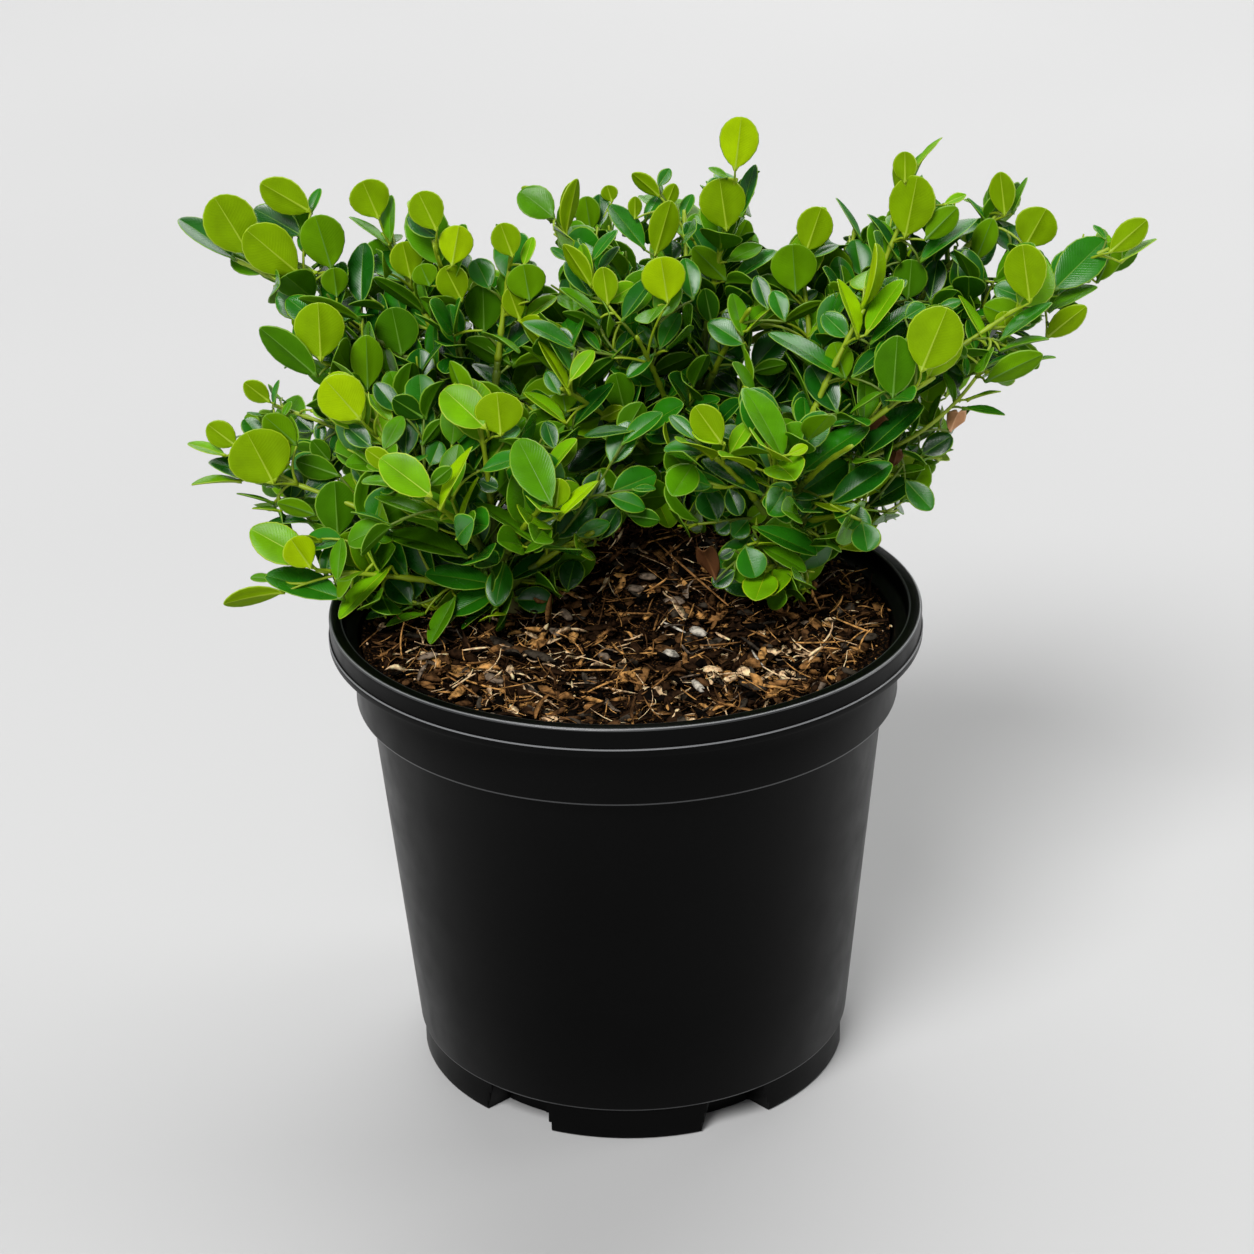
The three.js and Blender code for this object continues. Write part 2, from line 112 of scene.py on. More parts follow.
# Shrub, as in the solids
STEM_FOOT_RADIUS = 4.6
STEM_TOP_RADIUS = 3.5
FLARE = 2.6
FLARE_RISE = 4.0
STEM_GAP = 0.3
STEM_LEAN = 0.4
SHOOT_BEND = np.array([0.45, 0.45, 0.6])
SHOOT_RADIUS = 2.5
TIP_RADIUS = 0.95
TWIG_RADIUS = 0.8
# The swelling of a limb at each node, and the bark's relief: the height of each wave, and its frequency round
# the limb and along it
NODE_SWELL = 0.45
NODE_SPREAD = 1.6
BARK_WAVES = [(1.0, 1.6, 0.13), (0.5, 5.0, 0.45)]
UP = np.array([0.0, 0.0, 1.0])

# The stems: name, foot on the potting mix (x, y), fork (x, y, z)
STEMS = [
    ("left", (-55, 6), (-60, 2, 250)),
    ("back_left", (-38, 58), (-78, 68, 312)),
    ("centre", (32, 92), (36, 96, 292)),
    ("right", (74, 19), (74, 14, 276)),
    ("back_right", (76, 72), (104, 82, 292)),
]

# The shoots: name, stem, how far up that stem it forks, bare share, tip (x, y, height over the rim)
SHOOTS = [
    ("low_left", "left", 0.45, 0, (-144, -18, 26)),
    ("front_left", "left", 1, 0, (-88, -60, 77)),
    ("front", "left", 1, 0, (-35, -45, 67)),
    ("low_front", "left", 0.5, 0, (-14, -12, 40)),
    ("left", "left", 0.9, 0.35, (-169, 25, 58)),
    ("left_middle", "left", 0.95, 0, (-120, 0, 91)),
    ("left_inner", "left", 1, 0, (-65, -12, 97)),
    ("left_shoulder", "back_left", 0.6, 0.3, (-142, 45, 107)),
    ("low_back_left", "back_left", 0.3, 0.4, (-176, 120, 59)),
    ("far_left", "back_left", 1, 0.35, (-186, 85, 147)),
    ("upper_left", "back_left", 1, 0.25, (-114, 95, 155)),
    ("upper_left_front", "back_left", 0.9, 0, (-87, 60, 161)),
    ("middle_left", "back_left", 0.7, 0.35, (-51, 78, 149)),
    ("inner_left", "centre", 0.25, 0, (-28, 20, 100)),
    ("inner_middle", "centre", 0.45, 0, (8, 40, 118)),
    ("middle_back", "centre", 0.6, 0.35, (-30, 122, 150)),
    ("back_left_top", "centre", 0.35, 0.35, (-14, 172, 136)),
    ("back_top", "centre", 0.8, 0.3, (34, 165, 143)),
    ("top", "centre", 1, 0.25, (57, 78, 183)),
    ("top_low", "centre", 0.9, 0, (62, 48, 128)),
    ("upper_right_middle", "back_right", 0.8, 0, (89, 100, 138)),
    ("back_right", "back_right", 0.9, 0, (120, 150, 138)),
    ("upper_right", "back_right", 1, 0, (143, 95, 168)),
    ("tall_right", "back_right", 1, 0.35, (193, 125, 154)),
    ("far_right", "back_right", 0.95, 0.4, (238, 90, 141)),
    ("right_shoulder", "right", 1, 0.35, (190, 48, 126)),
    ("right_inner", "right", 1, 0, (114, 25, 134)),
    ("right_middle", "right", 0.95, 0, (145, 2, 108)),
    ("low_right", "right", 0.7, 0, (110, -20, 50)),
    ("right_front", "right", 0.9, 0, (104, -38, 90)),
    ("front_right", "right", 0.8, 0, (68, -52, 92)),
    ("front_middle", "right", 0.65, 0, (42, -22, 80)),
    ("foot_right", "right", 0.3, 0, (66, -16, 20)),
    ("back_low_left", "back_left", 0.2, 0.35, (-90, 180, 70)),
    ("back_low", "centre", 0.15, 0.35, (20, 208, 75)),
    ("back_low_right", "back_right", 0.3, 0.35, (150, 185, 85)),
]

# Stage: the floor, the sky, and wide suns: name, place it comes from, width in degrees, strength
FLOOR_REACH = 60000.0
FLOOR_LEVEL = -0.2
SKY_STRENGTH = 0.1
SUNS = [
    ("key", (-450, -930, 1180), 28, 3.05),
    ("front", (-150, -1500, 260), 40, 0.4),
    ("back", (200, 1460, 1400), 58, 2.3),
    ("left", (-1500, 300, 400), 26, 0.15),
    ("right", (1500, 300, 400), 26, 0.95),
]

# Leaves and twigs as the real plant has them: the gaps between nodes, the length of a side twig, how much of
# a shoot's bare share is bare here, and a leaf's length
NODE_GAP = 13.0
SIDE_NODE_GAP = 10.0
SIDE_LENGTH = 42.0
BARE_SHARE = 0.65
LEAF_LENGTH = 30.0
# Sizes of the pairs from a shoot's tip down, the least breadth in lengths, the widest spread in degrees, and
# the breadth in lengths on side twigs
MAIN_SIZES = (1.0, 1.0, 0.98, 0.95, 0.92, 0.88, 0.84, 0.8)
LEAST_RATIO = 0.58
WIDEST_SPREAD = 54
SIDE_RATIO = 0.68
# How often a leaf of a shoot, and one of a side twig, ends blunt
MAIN_BLUNT = 0.5
SIDE_BLUNT = 0.6
# The stalk: its share of the leaf's length, and half its breadth
PETIOLE_SHARE = 0.06
PETIOLE_HALF = 0.75
# The power that shapes a blade at its base, and those at its tip: the higher, the more pointed
BASE_POWER = 0.52
ROUND_POINT = 0.5
BLUNT_POINT = 0.52
SLIM_POINT = 0.58
SHARP_POINT = 0.62
# The blade's ripples, its midrib above and below, its pale margin and its thickness
RIPPLES = 9.0
RIB_HALF_OVER = 0.3
RIB_HALF_BELOW = 0.5
KEEL_DEPTH = 0.7
GROOVE_SHARE = 0.2
MARGIN_WIDTH = 0.6
BLADE_THICKNESS = 0.45
# How a leaf stands: the lift of its line and of its face, how it swings round its twig to find room, and how
# many of its samples may touch others, at first and in the rounds that close the last holes
LEAF_LIFT = 0.25
FACE_LIFT = 0.4
LEAF_SWINGS = (0, 0.35, -0.35, 0.7, -0.7, 1.1, -1.1)
LEAF_ROOM = 9
DEEP_LEAF_ROOM = 20
# The pair of leaves at a shoot's end, and how often one of them has the youngest tone
END_PAIR = {"share": 0.99, "spread": math.radians(16), "size": 0.95, "ratio": 0.84, "point": ROUND_POINT}
END_YOUNG = 0.4
# Side twigs: how much shorter one may be to find room, the least length, and how much may stand near it
SIDE_SHORTER = (1.0, 0.7, 0.5)
LEAST_SIDE = 11
TWIG_ROOM = 3
AROUND_TWIG = np.array([(x, y, z) for x in (-5, 0, 5) for y in (-5, 0, 5) for z in (-4, 4)])
# Where further twigs may start: the least and most share of a shoot and of a side twig, and the step along it
SHOOT_STARTS = (0.04, 0.93, 3)
TWIG_STARTS = (0.35, 0.95, 4)
# Further twigs where the crown is thin: seed, tries, reach, and how empty their place has to be
FILL_SEED = 71
FILL_TRIES = 5000
FILL_REACH = (9.0, 26.0)
FILL_ROOM = 2
AROUND_TARGET = np.array([(x, y, z) for x in (-6, 0, 6) for y in (-6, 0, 6) for z in (-5, 0, 5)])
# Further twigs where the picture shows through: rounds, and the first one in which leaves may stand closer;
# share of holes tried, and how they are reached
PICTURE_ROUNDS = 8
DEEP_ROUND = 2
HOLE_SHARE = 0.3
HOLE_TRIES = 7
HOLE_CHOICES = 24
HOLE_DEPTH = 24.0
HOLE_REACH = 34.0
PIECE_TRIANGLES = 190000
# Space in cells, from one corner to the other, how closely wood is marked in it, and what a cell may hold
SPACE_LOW = np.array([-260.0, -150.0, 205.0])
SPACE_HIGH = np.array([300.0, 300.0, 480.0])
CELL = 2.4
MARK_STEP = 1.5
WOOD, LEAF, SEEN_LEAF = 1, 2, 3
# How far leaves and twigs keep over the mix and over the rim, how far inside the collar they have to be over
# the rim already, how far outside the rim they may hang, and how far down
MIX_CLEARANCE = 4.0
RIM_CLEARANCE = 1.5
COLLAR_MARGIN = 5.0
RIM_MARGIN = 2.0
HANG_DEPTH = 90.0


def unit(vector):
    return vector / np.linalg.norm(vector)


def smoothstep(low, high, value):
    share = np.clip((value - low) / (high - low), 0, 1)
    return share * share * (3 - 2 * share)


# The camera's picture


class View:
    """Where points fall in the photograph, in its pixels, and how deep they lie."""

    def __init__(self):
        pitch, roll = math.radians(VIEW_PITCH), math.radians(VIEW_ROLL)
        self.place = np.array(VIEW_PLACE)
        self.forward = np.array([0.0, math.cos(pitch), -math.sin(pitch)])
        level = np.array([1.0, 0.0, 0.0])
        upward = np.cross(level, self.forward)
        self.right = level * math.cos(roll) + upward * math.sin(roll)
        self.up = -level * math.sin(roll) + upward * math.cos(roll)
        self.scale = VIEW_LENS / SENSOR_WIDTH * PICTURE_SIZE

    def project(self, points):
        away = points - self.place
        depth = away @ self.forward
        across = PICTURE_SIZE / 2 + self.scale * (away @ self.right) / depth
        down = PICTURE_SIZE / 2 - self.scale * (away @ self.up) / depth
        return np.stack([across, down], -1), depth

    def span(self, pixels, depth):
        """A step in the picture as a step in space, in the plane across the view at a depth."""
        return (self.right * pixels[0] - self.up * pixels[1]) * depth / self.scale

    def point(self, pixel, depth):
        centre = self.place + self.forward * depth
        return centre + self.span(np.asarray(pixel) - PICTURE_SIZE / 2, depth)


# Meshes from arrays


class Batch:
    """Points and faces of one joined piece, with a material number for each face."""

    def __init__(self):
        self.points = []
        self.quads = []
        self.triangles = []
        self.quad_slots = []
        self.triangle_slots = []
        self.count = 0

    def add(self, points, quads=None, quad_slots=0, triangles=None, triangle_slots=0):
        points = np.asarray(points, float).reshape(-1, 3)
        for faces, slots, kept, kept_slots, size in (
            (quads, quad_slots, self.quads, self.quad_slots, 4),
            (triangles, triangle_slots, self.triangles, self.triangle_slots, 3),
        ):
            if faces is None or len(faces) == 0:
                continue
            faces = np.asarray(faces, int).reshape(-1, size)
            kept.append(faces + self.count)
            kept_slots.append(np.broadcast_to(np.asarray(slots, int), len(faces)))
        self.points.append(points)
        self.count += len(points)

    def build(self, name, materials, uv=None):
        quads = np.concatenate(self.quads) if self.quads else np.zeros((0, 4), int)
        triangles = np.concatenate(self.triangles) if self.triangles else np.zeros((0, 3), int)
        slots = np.concatenate(self.quad_slots + self.triangle_slots)
        corners = np.concatenate([quads.ravel(), triangles.ravel()]).astype(np.int32)
        sizes = np.concatenate([np.full(len(quads), 4), np.full(len(triangles), 3)]).astype(np.int32)
        starts = np.concatenate([[0], np.cumsum(sizes)[:-1]]).astype(np.int32)
        points = (np.concatenate(self.points) * MM).astype(np.float32)
        mesh = bpy.data.meshes.new(name)
        mesh.vertices.add(len(points))
        mesh.vertices.foreach_set("co", points.ravel())
        mesh.loops.add(len(corners))
        mesh.loops.foreach_set("vertex_index", corners)
        mesh.polygons.add(len(sizes))
        mesh.polygons.foreach_set("loop_start", starts)
        mesh.polygons.foreach_set("material_index", slots.astype(np.int32))
        mesh.polygons.foreach_set("use_smooth", np.ones(len(sizes), bool))
        for material in materials:
            mesh.materials.append(material)
        if uv is not None:
            layer = mesh.uv_layers.new(name="leaf")
            layer.data.foreach_set("uv", uv[corners].astype(np.float32).ravel())
        mesh.update(calc_edges=True)
        mesh.validate()
        piece = bpy.data.objects.new(name, mesh)
        bpy.context.scene.collection.objects.link(piece)
        return piece


def grid_quads(rows, columns, closed):
    """The quads of a grid of points, row by row, whose rows may close on themselves."""
    across = columns if closed else columns - 1
    row, column = np.meshgrid(np.arange(rows - 1), np.arange(across), indexing="ij")
    following = (column + 1) % columns
    first = row * columns + column
    second = row * columns + following
    return np.stack([first, second, second + columns, first + columns], -1).reshape(-1, 4)


def fan(hub, ring, sides, is_flipped=False):
    """The triangles from a hub to a closed ring of points, by the number of the ring's first point."""
    near = np.arange(sides)
    far = (near + 1) % sides
    first, second = (far, near) if is_flipped else (near, far)
    return np.stack([np.full(sides, hub), ring + first, ring + second], -1)


def finish_piece(piece, nodes=()):
    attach(piece, "root")
    if nodes:
        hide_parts(*nodes)


# Materials

# Blender's noise lies mostly between these two values
NOISE_LOW = 0.3
NOISE_HIGH = 0.7


def srgb(red, green, blue):
    """A base colour from eight-bit screen values."""
    values = [v / 255 for v in (red, green, blue)]
    linear = [v / 12.92 if v <= 0.04045 else ((v + 0.055) / 1.055) ** 2.4 for v in values]
    return (*linear, 1.0)


class Shader:
    """A material on the Principled shader, with its colour, gloss and relief from noise."""

    def __init__(self, name, roughness, specular=0.5):
        self.material = bpy.data.materials.new(name)
        self.material.use_nodes = True
        self.nodes = self.material.node_tree.nodes
        self.links = self.material.node_tree.links
        self.principled = self.nodes["Principled BSDF"]
        self.principled.inputs["Roughness"].default_value = roughness
        self.principled.inputs["Specular IOR Level"].default_value = specular
        self.place = self.nodes.new("ShaderNodeTexCoord").outputs["Object"]
        self.height = None

    def noise(self, scale, detail=3.0, stretch=None):
        where = self.place
        if stretch is not None:
            mapping = self.nodes.new("ShaderNodeMapping")
            mapping.inputs["Scale"].default_value = stretch
            self.links.new(where, mapping.inputs["Vector"])
            where = mapping.outputs["Vector"]
        texture = self.nodes.new("ShaderNodeTexNoise")
        texture.inputs["Scale"].default_value = scale
        texture.inputs["Detail"].default_value = detail
        self.links.new(where, texture.inputs["Vector"])
        return texture.outputs["Fac"]

    def colour(self, value, stops):
        """The base colour, by where a value lies between the stops."""
        ramp = self.nodes.new("ShaderNodeValToRGB")
        elements = ramp.color_ramp.elements
        while len(elements) < len(stops):
            elements.new(0.5)
        for element, (place, colour) in zip(elements, stops):
            element.position = place
            element.color = colour
        self.links.new(value, ramp.inputs["Fac"])
        self.links.new(ramp.outputs["Color"], self.principled.inputs["Base Color"])

    def roughness(self, value, low, high):
        """A roughness that follows a noise between two limits."""
        spread = self.nodes.new("ShaderNodeMapRange")
        limits = {"From Min": NOISE_LOW, "From Max": NOISE_HIGH, "To Min": low, "To Max": high}
        for name, limit in limits.items():
            spread.inputs[name].default_value = limit
        self.links.new(value, spread.inputs["Value"])
        self.links.new(spread.outputs["Result"], self.principled.inputs["Roughness"])

    def relief(self, value, distance, strength=1.0):
        """A relief up to a distance in millimetres, over the ones before it."""
        bump = self.nodes.new("ShaderNodeBump")
        bump.inputs["Distance"].default_value = distance * MM
        bump.inputs["Strength"].default_value = strength
        self.links.new(value, bump.inputs["Height"])
        if self.height is not None:
            self.links.new(self.height, bump.inputs["Normal"])
        self.height = bump.outputs["Normal"]
        self.links.new(self.height, self.principled.inputs["Normal"])


def shaded(colour, factor):
    return (*[min(1.0, v * factor) for v in colour[:3]], 1.0)


def varied(colour, variation):
    """The stops of a ramp that varies round one base colour."""
    return [(NOISE_LOW, shaded(colour, 1 - variation)), (NOISE_HIGH, shaded(colour, 1 + variation))]


def plain_material(name, colour, roughness, variation=0.15, scale=120, specular=0.5, relief=0.0):
    """A finish whose colour varies a little round one base colour."""
    shader = Shader(name, roughness, specular)
    shader.colour(shader.noise(scale), varied(colour, variation))
    if relief:
        shader.relief(shader.noise(scale * 6), relief)
    return shader.material


# Finishes of the pot: its plain plastic, a pale grey painted on the rounded rims as a highlight, and a darker
# grey painted on its finer edges as a fainter highlight
POT_PLAIN, POT_PAINTED_HIGHLIGHT, POT_PAINTED_EDGE_HIGHLIGHT = range(3)
# The finishes of a wide round, from its face up to its top: the painted highlight is brightest near the top,
# with the fainter painted edge highlight round it
WIDE_ROUND = [POT_PLAIN, POT_PAINTED_EDGE_HIGHLIGHT, POT_PAINTED_EDGE_HIGHLIGHT, POT_PAINTED_HIGHLIGHT, POT_PAINTED_HIGHLIGHT, POT_PAINTED_EDGE_HIGHLIGHT]


def pot_materials():
    plain = Shader("pot_plastic", roughness=0.34, specular=0.07)
    plain.colour(plain.noise(9, 2), [(0.35, srgb(2, 2, 2)), (0.65, srgb(4, 4, 4))])
    plain.roughness(plain.noise(60, 4), low=0.3, high=0.4)
    plain.relief(plain.noise(1400, 2), distance=0.05, strength=0.5)
    plain.relief(plain.noise(25, 2, stretch=(1, 1, 0.3)), distance=0.25, strength=0.35)
    # Lighter greys than the plastic, which paint highlights onto the pot: a strong one on the rim, faint ones
    # on the finer edges
    sheen = plain_material("pot_rim_painted_highlight", srgb(116, 117, 119), 0.3, variation=0.05, scale=60, specular=0.7)
    # A darker grey, painted on the finer edges as a faint highlight
    edge = plain_material("pot_edge_painted_highlight", srgb(46, 47, 48), 0.32, variation=0.05, scale=60)
    return [plain.material, sheen, edge]


# Leaf tones, from the youngest to the oldest and then the dead ones: name, upper side, underside, gloss of
# the upper side
LEAF_TONES = [
    ("young", srgb(140, 182, 4), srgb(150, 182, 0), 0.08),
    ("lime", srgb(106, 162, 8), srgb(118, 153, 0), 0.12),
    ("fresh", srgb(76, 134, 6), srgb(92, 138, 0), 0.2),
    ("mid", srgb(38, 114, 12), srgb(62, 112, 1), 0.5),
    ("mature", srgb(22, 88, 12), srgb(40, 90, 2), 0.6),
    ("old", srgb(14, 68, 8), srgb(28, 70, 2), 0.6),
    ("dead", srgb(206, 160, 122), srgb(190, 140, 102), 0.12),
    ("withered", srgb(104, 68, 40), srgb(92, 58, 34), 0.12),
]
YOUNG, LIME, FRESH, MID, MATURE, OLD, DEAD, WITHERED = range(len(LEAF_TONES))
# The midribs and margins, whose finishes follow those of the tones
LEAF_LINES = [
    ("leaf_rib_young", srgb(150, 178, 10), 0.5),
    ("leaf_rib_old", srgb(86, 134, 12), 0.5),
    ("leaf_margin_young", srgb(156, 186, 14), 0.45),
    ("leaf_margin_old", srgb(116, 160, 24), 0.45),
]
RIB_YOUNG, RIB_OLD, MARGIN_YOUNG, MARGIN_OLD = range(2 * len(LEAF_TONES), 2 * len(LEAF_TONES) + 4)
# Side veins of a leaf: how they slant, how many there are, how narrow and how deep they are
VEIN_SLANT = 0.55
VEIN_WAVES = 64.0
VEIN_SHARPNESS = 9.0
VEIN_DEPTH = 0.09


def leaf_veins(shader, strength):
    """Faint side veins that run out from the midrib towards the tip, from the leaf's own coordinates."""
    nodes, links = shader.nodes, shader.links
    layer = nodes.new("ShaderNodeUVMap")
    layer.uv_map = "leaf"
    parts = nodes.new("ShaderNodeSeparateXYZ")
    links.new(layer.outputs["UV"], parts.inputs["Vector"])

    def math_node(operation, first, second=None):
        node = nodes.new("ShaderNodeMath")
        node.operation = operation
        for socket, value in zip(node.inputs, (first, second)):
            if value is None:
                continue
            if isinstance(value, (int, float)):
                socket.default_value = value
            else:
                links.new(value, socket)
        return node.outputs["Value"]

    side = math_node("ABSOLUTE", math_node("SUBTRACT", parts.outputs["Y"], 0.5))
    slanted = math_node("SUBTRACT", parts.outputs["X"], math_node("MULTIPLY", side, VEIN_SLANT))
    wave = math_node("SINE", math_node("MULTIPLY", slanted, VEIN_WAVES))
    ridge = math_node("POWER", math_node("ABSOLUTE", wave), VEIN_SHARPNESS)
    shader.relief(ridge, VEIN_DEPTH, strength)


def leaf_material(name, colour, is_upper, gloss):
    """The glossy upper side of a leaf, or its duller underside."""
    shader = Shader(name, 0.26 if is_upper else 0.6, gloss if is_upper else 0.05)
    shader.colour(shader.noise(75, 4), varied(colour, 0.2 if is_upper else 0.14))
    shader.relief(shader.noise(420, 3), distance=0.10, strength=0.35)
    leaf_veins(shader, 0.35 if is_upper else 0.55)
    if is_upper:
        shader.roughness(shader.noise(90, 2), low=0.2, high=0.33)
    return shader.material


def leaf_materials():
    materials = []
    for name, upper, under, gloss in LEAF_TONES:
        materials.append(leaf_material(f"leaf_{name}_upper", upper, True, gloss))
        materials.append(leaf_material(f"leaf_{name}_under", under, False, gloss))
    for name, colour, roughness in LEAF_LINES:
        materials.append(plain_material(name, colour, roughness, variation=0.08))
    return materials


# Pot


def rounded_profile(corners):
    """The points of a profile from (radius, height, fillet, finish) corners, with an arc at each fillet,
    and the finish of each stretch between two points; a finish may be a painted highlight."""
    points, finishes = [], []
    for i, (x, z, fillet, *finish) in enumerate(corners):
        here = np.array([x, z], float)
        if points:
            finishes.append(POT_PLAIN)
        if fillet == 0:
            points.append(here)
            continue
        before = np.array(corners[i - 1][:2], float)
        after = np.array(corners[i + 1][:2], float)
        reach = min(fillet, 0.45 * np.linalg.norm(before - here), 0.45 * np.linalg.norm(after - here))
        start = here + unit(before - here) * reach
        end = here + unit(after - here) * reach
        is_wide = fillet > 1
        steps = len(WIDE_ROUND) if is_wide else 2
        for t in np.linspace(0, 1, steps + 1):
            points.append((1 - t) ** 2 * start + 2 * t * (1 - t) * here + t * t * end)
        if finish and is_wide:
            finishes += WIDE_ROUND
        else:
            finishes += [finish[0] if finish else POT_PLAIN] * steps
    return np.array(points), np.array(finishes)


def gap_turns():
    pitch = 360 / FOOT_COUNT
    return [math.radians(FOOT_TURN + pitch * (i + 0.5)) for i in range(FOOT_COUNT)]


def gap_depths(angles, height):
    """How far the wall steps in at each angle, where it passes a gap between two feet."""
    width = GAP_WIDTH_LOW + (GAP_WIDTH_HIGH - GAP_WIDTH_LOW) * height / FOOT_HEIGHT
    depth = np.zeros_like(angles)
    for turn in gap_turns():
        centre = turn - math.pi / 2
        away = np.abs((angles - centre + math.pi) % (2 * math.pi) - math.pi) * FOOT_RADIUS
        depth = np.maximum(depth, 1 - smoothstep(width / 2 - GAP_EDGE, width / 2 + GAP_EDGE, away))
    return GAP_DEPTH * depth


def make_pot():
    under_rim = POT_HEIGHT - RIM_BAND
    ledge = under_rim + WALL
    inside = RIM_RADIUS - RIM_WIDTH
    inner_floor = FOOT_HEIGHT + 2 * WALL
    # A fourth value in a corner paints a highlight on its round: a strong one on the rim's lip and top, faint
    # ones on the foot, the collar's foot and the inner top edge
    corners = [
        (FLOOR_RADIUS, 0, 0),
        (FOOT_RADIUS - GAP_DEPTH - 3, 0, 0),
        (FOOT_RADIUS, 0, 1.2),
        (FOOT_RADIUS, 5, 0),
        (FOOT_RADIUS - 0.2, 10, 0),
        (FOOT_RADIUS - 0.4, FOOT_HEIGHT - 1, 0),
        (FOOT_RADIUS - 0.4, FOOT_HEIGHT, 0.5),
        (BODY_FOOT_RADIUS, FOOT_HEIGHT + 0.6, 0.9, POT_PAINTED_EDGE_HIGHLIGHT),
        (BODY_FOOT_RADIUS + 4, FOOT_HEIGHT + 44, 0),
        (BODY_FOOT_RADIUS + 8, FOOT_HEIGHT + 87, 0),
        (BODY_TOP_RADIUS, COLLAR_FOOT - 0.8, 1.2),
        (COLLAR_RADIUS + 0.4, COLLAR_FOOT, 1.0, POT_PAINTED_EDGE_HIGHLIGHT),
        (COLLAR_RADIUS, under_rim - 8, 4),
        (COLLAR_RADIUS + 1.2, under_rim, 1.5),
        (RIM_RADIUS - 0.2, under_rim + 0.2, 0.5),
        (RIM_RADIUS, under_rim + RIM_LIP, 0.55, POT_PAINTED_HIGHLIGHT),
        (RIM_RADIUS - 1.0, under_rim + RIM_LIP + 0.3, 0.3),
        (RIM_RADIUS - 0.7, POT_HEIGHT - 3.0, 0),
        (RIM_RADIUS - 0.6, POT_HEIGHT, 2.4, POT_PAINTED_HIGHLIGHT),
        (inside + 0.6, POT_HEIGHT, 0.9, POT_PAINTED_EDGE_HIGHLIGHT),
        (inside, ledge + 2, 1.5),
        (COLLAR_RADIUS - WALL + 0.5, ledge, 1.0),
        (COLLAR_RADIUS - WALL, ledge - 4, 0),
        (COLLAR_RADIUS - WALL, COLLAR_FOOT + WALL, 1.0),
        (BODY_TOP_RADIUS - WALL, COLLAR_FOOT - 1.5, 1.0),
        (BODY_FOOT_RADIUS - WALL, inner_floor, 0),
        (FLOOR_RADIUS, inner_floor, 0),
    ]
    profile, finishes = rounded_profile(corners)
    angles = np.linspace(0, 2 * math.pi, POT_SIDES, endpoint=False)
    rows = []
    for radius, height in profile:
        is_foot = height <= FOOT_HEIGHT - 0.45 and radius > FOOT_RADIUS - GAP_DEPTH - 2
        reach = radius - (gap_depths(angles, height) if is_foot else 0)
        heights = np.full(POT_SIDES, height)
        rows.append(np.stack([reach * np.cos(angles), reach * np.sin(angles), heights], -1))
    points = np.concatenate([*rows, [[0, 0, 0]], [[0, 0, inner_floor]]])
    centre = len(rows) * POT_SIDES
    under = fan(centre, 0, POT_SIDES, is_flipped=True)
    inner = fan(centre + 1, centre - POT_SIDES, POT_SIDES)
    walls = grid_quads(len(rows), POT_SIDES, True)
    batch = Batch()
    batch.add(points, walls, np.repeat(finishes, POT_SIDES), np.concatenate([under, inner]), POT_PLAIN)
    pot = batch.build("pot_shell", pot_materials())
    pot.data.set_sharp_from_angle(angle=math.radians(SHARP_EDGE))
    finish_piece(pot, ["pot"])


# Potting mix


def mix_level(x, y):
    away = np.hypot(x - MOUND_CENTRE[0], y - MOUND_CENTRE[1]) / MOUND_SPREAD
    return MIX_LEVEL + MOUND_HEIGHT * np.exp(-away * away)


def rough_level(x, y):
    """The level of the potting mix with its lumps and hollows."""
    lumps = sum(rise * noise.noise(Vector((x * rate, y * rate, cut))) for rise, rate, cut in MIX_WAVES)
    heap = HEAP_HEIGHT * float(smoothstep(*HEAP_RADII, math.hypot(x, y)))
    return float(mix_level(x, y)) + lumps + heap


MIX_TONES = [
    ("pale", srgb(240, 200, 154)),
    ("gold", srgb(190, 140, 80)),
    ("tan", srgb(138, 98, 56)),
    ("brown", srgb(84, 58, 34)),
    ("dark", srgb(42, 27, 15)),
    ("black", srgb(9, 6, 4)),
    ("grey", srgb(116, 101, 86)),
    ("ash", srgb(186, 178, 164)),
    ("slate", srgb(62, 55, 46)),
]
PALE, GOLD, TAN, BROWN, DARK, BLACK, GREY, ASH, SLATE = range(len(MIX_TONES))
MULCH_SEED = 11
# Bark strewn over the mix, by kind: how many pieces, how far they keep from the pot's wall, the least and
# most height at which they lie, and how often each tone comes
STREWN = {
    "fibres": (1700, 6, (0.4, 4.4), {PALE: 14, GOLD: 22, TAN: 20, BROWN: 20, DARK: 30, GREY: 2}),
    "flakes": (
        1000, 8, (0.6, 3.8),
        {PALE: 12, GOLD: 15, TAN: 17, BROWN: 22, DARK: 34, BLACK: 14, GREY: 4, SLATE: 4},
    ),
    "chips": (
        620, 7, (0.6, 3.0),
        {PALE: 3, GOLD: 7, TAN: 10, BROWN: 20, DARK: 34, BLACK: 16, GREY: 5, SLATE: 12},
    ),
    "crumbs": (
        1900, 2, (0.2, 1.4),
        {PALE: 8, GOLD: 10, TAN: 10, BROWN: 18, DARK: 32, BLACK: 26, GREY: 2, ASH: 0.5},
    ),
}
# Their least and most sizes
FIBRE_LENGTHS = (6, 24)
FLAKE_LENGTHS = (5, 15)
FLAKE_WIDTHS = (2, 5.4)
FLAKE_CUPS = (0.1, 0.9)
FLAKE_THICKNESS = 0.5
CHIP_LENGTHS = (5, 15)
CHIP_WIDTHS = (3, 7)
CHIP_THICKNESSES = (0.6, 1.4)
CRUMB_SIZES = (0.7, 2.4)
# How high over the mix the plainly seen pieces lie, and how thick they are
SEEN_CHIP_LIFT = 4.4
SEEN_CHIP_THICKNESS = 1.6
SEEN_FIBRE_LIFT = 5.0
SEEN_FIBRE_THICKNESS = 0.9
